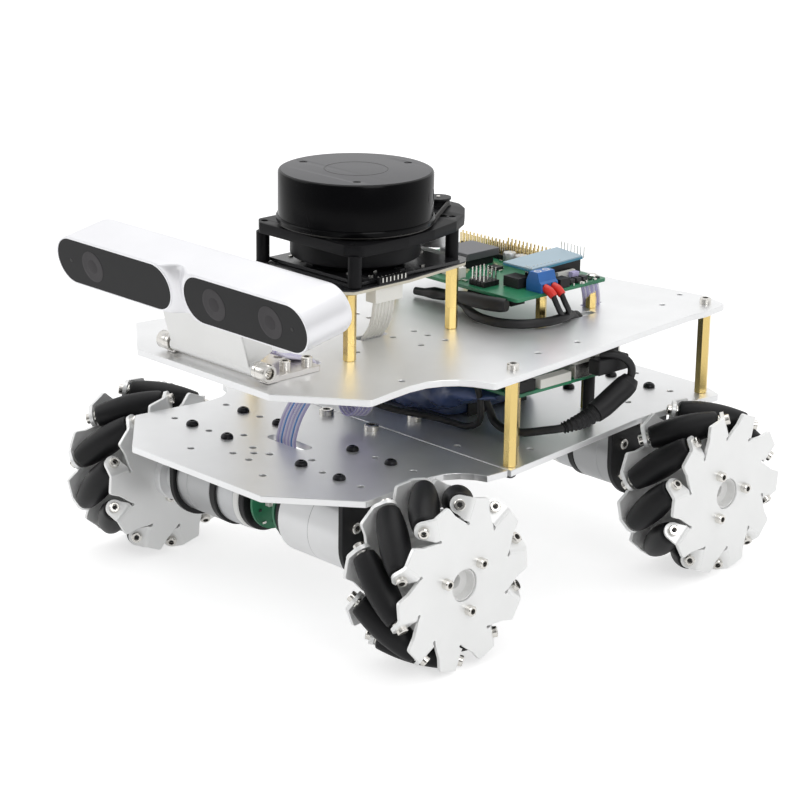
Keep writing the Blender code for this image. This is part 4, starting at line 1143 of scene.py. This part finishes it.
def build_computer():
    """The lower circuit board, on its standoffs above the battery."""
    top = COMPUTER_TOP
    board = Piece("computer_board_base")
    outline = rounded([(-40, -16, 2), (74, -16, 2), (74, 62, 2), (-40, 62, 2)])
    board.plate(outline, [circle(x, y, 1.6) for x in (-35, 69.5) for y in (-11.5, 57)],
                98.4, top, BOARD, 0.1)
    board.finish("chassis", ("computer_board",), angle=12)
    feet = Piece("computer_standoffs")
    for x, y in ((69.5, -11.5), (52, 57), (-35, -11.5), (-35, 57)):
        feet.hexagon((x, y), 95.6 if x < 0 and y < 50 else LOWER_TOP + 0.02, 98.35, 5.0, BRASS)
        feet.nut(x, y, top - 0.05)
    feet.finish("chassis")
    parts = Piece("computer_parts")
    parts.box((58, 23, top), (74.6, 37, top + 7), PIN_METAL)
    parts.box((58, 38.5, top), (75.2, 53, top + 12.6), PIN_METAL)
    parts.box((74.5, 40, top + 1.4), (75.6, 51.5, top + 5.4), BLACK_MOULD)
    parts.box((74.5, 40, top + 7.2), (75.6, 51.5, top + 11.2), BLACK_MOULD)
    parts.box((60, -12.5, top), (73.4, -2.0, top + 5), BLACK_MOULD)
    parts.rod(2.7, LOWER_TOP + 0.05, 98.3, BLACK_MOULD, shift(67.5, 41.0, 0), 20)
    parts.box((69.5, 0.3, top), (74.4, 20.7, top + 4.3), WHITE_PLASTIC)
    parts.box((-18, 4, top), (26, 44, top + 3.2), HEATSINK)
    for k in range(14):
        x = -17.5 + 3.2 * k
        parts.box((x, 4, top + 3.1), (x + 1.1, 44, top + 10.6), HEATSINK)
    pin_header(parts, -34, -13.2, 20, 2, top)
    chip(parts, 42, 12, 13, 13, top, 1.5, 8)
    chip(parts, 42, 34, 10, 8, top, 1.5, 6)
    scatter(parts, (28, -12, 64, 58), top, 70, 5)
    scatter(parts, (-38, 46, 28, 60), top, 40, 6)
    parts.finish("chassis", bevel=0.1)
    plug = Piece("usb_plug_right_angle")
    plug.box((75.4, 40.5, top + 2.4), (79.6, 51.0, top + 8.2), BLACK_MOULD)
    plug.box((77.0, 29.0, top + 2.2), (84.0, 49.6, top + 9.6), BLACK_MOULD)
    plug.finish("chassis", bevel=0.9)


def build_power_cable():
    """The computer's power cord, the loose leads and the film before the battery."""
    route = ((79.4, 34, 110.6), (83.6, 38.5, 111.2), (87.2, 43.5, 108.6), (88.8, 46, 104),
             (88.4, 45, 98.8), (87.4, 40.5, 94.8), (86, 30.8, 88.6), (85.2, 24.4, 86.0),
             (84.6, 18, 84.2), (83.4, 11, 82.6), (81.0, 7.0, 81.4), (75.3, 2.5, 80.0),
             (67.5, -3.6, 78.4), (58.9, -6.0, 78.4), (49.7, -3.6, 79.6), (46.4, -3.4, 84.0),
             (45.0, -5.3, 89.0), (42.0, -6.4, 94.0))
    cord = Piece("power_cord")
    cord.tube(route, 1.9, CABLE, 14, 8)
    cord.finish("chassis", ("power_cable",))
    joint = Piece("cable_connector")
    joint.tube([(88.5, 46.2, 99.6), (88.0, 44.2, 97.0), (87.6, 41.4, 95.0), (86.8, 36.0, 91.8),
                (86.0, 30.8, 88.6), (85.2, 25.4, 86.1)],
               [3.6, 5.1, 5.4, 5.3, 5.3, 4.9], BLACK_MOULD, 24, 8)
    path, _ = spline([(85.4, 26.6, 86.6), (84.6, 20.0, 84.1), (84.1, 13.0, 83.1),
                      (82.2, 8.0, 81.8)], [1] * 4, 9)
    sizes = [4.4 - 2.0 * i / (len(path) - 1) + (0.35 if i % 3 == 0 else -0.3)
             for i in range(len(path))]
    joint.tube(path, sizes, BLACK_MOULD, 20, 1)
    joint.finish("chassis", angle=50)
    loops = Piece("loose_leads")
    loops.tube([(21.6, -53.8, 92), (23.0, -40.0, 86.0), (26.9, -22.0, 80), (33.0, -15.0, 77.4),
                (41.5, -12.7, 77), (49.6, -13.4, 82), (53.2, -17.1, 94), (50.4, -18.6, 104),
                (42, -16, 110)], 1.5, CABLE, 12)
    loops.tube([(-36, -12, 84), (-46, -22, 80), (-60, -18, 77.4), (-66, 0, 77.2),
                (-62, 30, 77.2), (-54, 60, 78.4), (-46, 78, 84)], 1.6, CABLE, 12)
    loops.finish("chassis")
    film = Piece("blue_film")
    verts, faces = [], []
    columns, rows = 30, 8
    for i in range(columns + 1):
        x = -38 + 101 * i / columns
        for j in range(rows + 1):
            t = j / rows
            y = -11.5 - 6.5 * math.sin(t * math.pi) - 0.8 * math.sin(i * 1.3 + j)
            low = 76.0 + 5.4 * smooth_step((x + 12) / 60) + 13.4 * smooth_step((x - 14) / 56)
            z = low + (97.4 - low) * t + 0.8 * math.sin(i * 0.9) * math.sin(t * math.pi)
            verts.append((x, y, z))
    base = len(verts)
    verts += [(x, y + 0.5, z) for x, y, z in verts]
    n = rows + 1
    for i in range(columns):
        for j in range(rows):
            a = i * n + j
            faces.append([a, a + 1, a + n + 1, a + n])
            faces.append([base + a, base + a + n, base + a + n + 1, base + a + 1])
    edge = [i * n for i in range(columns + 1)] + [columns * n + j for j in range(1, n)]
    edge += [i * n + rows for i in range(columns - 1, -1, -1)] + [j for j in range(rows - 1, 0, -1)]
    faces += [[edge[i], edge[(i + 1) % len(edge)], base + edge[(i + 1) % len(edge)],
               base + edge[i]] for i in range(len(edge))]
    film.add(verts, faces, WRAP)
    film.finish("chassis", angle=70)


for corner in CORNERS:
    build_wheel(corner)
    build_motor(corner)
build_rollers()
build_decks()
build_lidar()
build_camera()
build_controller()
build_ribbons()
build_battery()
build_computer()
build_power_cable()


# Stage, light and camera ---------------------------------------------------------------------
def build_stage():
    """A white floor that looks the same white as the backdrop."""
    mesh = bpy.data.meshes.new("floor")
    size = 6.0
    mesh.from_pydata([(-size, -size, 0), (size, -size, 0), (size, size, 0), (-size, size, 0)], [],
                     [[0, 1, 2, 3]])
    floor = bpy.data.objects.new("floor", mesh)
    bpy.context.scene.collection.objects.link(floor)
    white = bpy.data.materials.new("studio_white")
    white.use_nodes = True
    shader = white.node_tree.nodes["Principled BSDF"]
    shader.inputs["Base Color"].default_value = (0.55, 0.55, 0.55, 1)
    shader.inputs["Roughness"].default_value = 0.75
    shader.inputs["Specular IOR Level"].default_value = 0.2
    shader.inputs["Emission Color"].default_value = (1, 1, 1, 1)
    nodes, links = white.node_tree.nodes, white.node_tree.links
    ray = nodes.new("ShaderNodeLightPath")
    glow = nodes.new("ShaderNodeMapRange")
    glow.inputs["To Min"].default_value, glow.inputs["To Max"].default_value = 0.40, 0.66
    links.new(ray.outputs["Is Camera Ray"], glow.inputs["Value"])
    links.new(glow.outputs["Result"], shader.inputs["Emission Strength"])
    mesh.materials.append(white)


def area_light(name, at, target, size, power):
    """A rectangular light at a point, turned to its target."""
    light = bpy.data.lights.new(name, "AREA")
    light.shape, light.size, light.size_y = "RECTANGLE", size[0], size[1]
    light.energy = power
    obj = bpy.data.objects.new(name, light)
    bpy.context.scene.collection.objects.link(obj)
    obj.location = at
    aim = Vector(target) - Vector(at)
    obj.rotation_euler = aim.to_track_quat("-Z", "Y").to_euler()


def build_light():
    """A soft surround, brighter from one side, and three area lights."""
    scene = bpy.context.scene
    world = bpy.data.worlds.new("studio")
    world.use_nodes = True
    nodes, links = world.node_tree.nodes, world.node_tree.links
    where = nodes.new("ShaderNodeTexCoord")
    side = nodes.new("ShaderNodeVectorMath")
    side.operation = "DOT_PRODUCT"
    side.inputs[1].default_value = (-0.62, 0.60, 0.50)
    links.new(where.outputs["Generated"], side.inputs[0])
    fade = nodes.new("ShaderNodeMapRange")
    fade.interpolation_type = "SMOOTHSTEP"
    fade.inputs["From Min"].default_value, fade.inputs["From Max"].default_value = -0.75, 0.55
    fade.inputs["To Min"].default_value, fade.inputs["To Max"].default_value = 0.16, 0.95
    links.new(side.outputs["Value"], fade.inputs["Value"])
    lit, seen = nodes["Background"], nodes.new("ShaderNodeBackground")
    lit.inputs["Color"].default_value = seen.inputs["Color"].default_value = (1, 1, 1, 1)
    links.new(fade.outputs["Result"], lit.inputs["Strength"])
    seen.inputs["Strength"].default_value = 1.0
    ray, mix = nodes.new("ShaderNodeLightPath"), nodes.new("ShaderNodeMixShader")
    links.new(ray.outputs["Is Camera Ray"], mix.inputs["Fac"])
    links.new(lit.outputs["Background"], mix.inputs[1])
    links.new(seen.outputs["Background"], mix.inputs[2])
    links.new(mix.outputs["Shader"], nodes["World Output"].inputs["Surface"])
    scene.world = world
    scene.view_settings.view_transform = "Standard"
    area_light("key", (1.7, -0.5, 1.3), (0, 0, 0.08), (1.0, 1.0), 11)
    area_light("fill", (-1.4, -1.3, 1.3), (0, 0, 0.08), (1.2, 1.2), 6)
    area_light("top", (-0.3, 0.5, 2.0), (0, 0, 0.1), (1.6, 1.6), 9)


def build_camera_view():
    """The viewing angle: a long lens, a little above the deck, from the robot's front left."""
    azimuth, elevation, roll = math.radians(46.235), math.radians(17.669), math.radians(0.82)
    target = Vector((0.00012, (DY - 22.4) * MM, 0.07866))
    distance = 1.18812
    away = Vector((math.sin(azimuth) * math.cos(elevation),
                   -math.cos(azimuth) * math.cos(elevation), math.sin(elevation)))
    right = Vector((math.cos(azimuth), math.sin(azimuth), 0))
    up = away.cross(right)
    turned_right = right * math.cos(roll) + up * math.sin(roll)
    turned_up = up * math.cos(roll) - right * math.sin(roll)
    data = bpy.data.cameras.new("view")
    data.sensor_width, data.lens = 36.0, 113.74
    data.shift_x, data.shift_y = 0.01155, 0.00809
    data.clip_start, data.clip_end = 0.05, 50
    camera = bpy.data.objects.new("view", data)
    bpy.context.scene.collection.objects.link(camera)
    rotation = Matrix((turned_right, turned_up, away)).transposed()
    camera.matrix_world = Matrix.Translation(target + away * distance) @ rotation.to_4x4()
    bpy.context.scene.camera = camera


build_stage()
build_light()
build_camera_view()
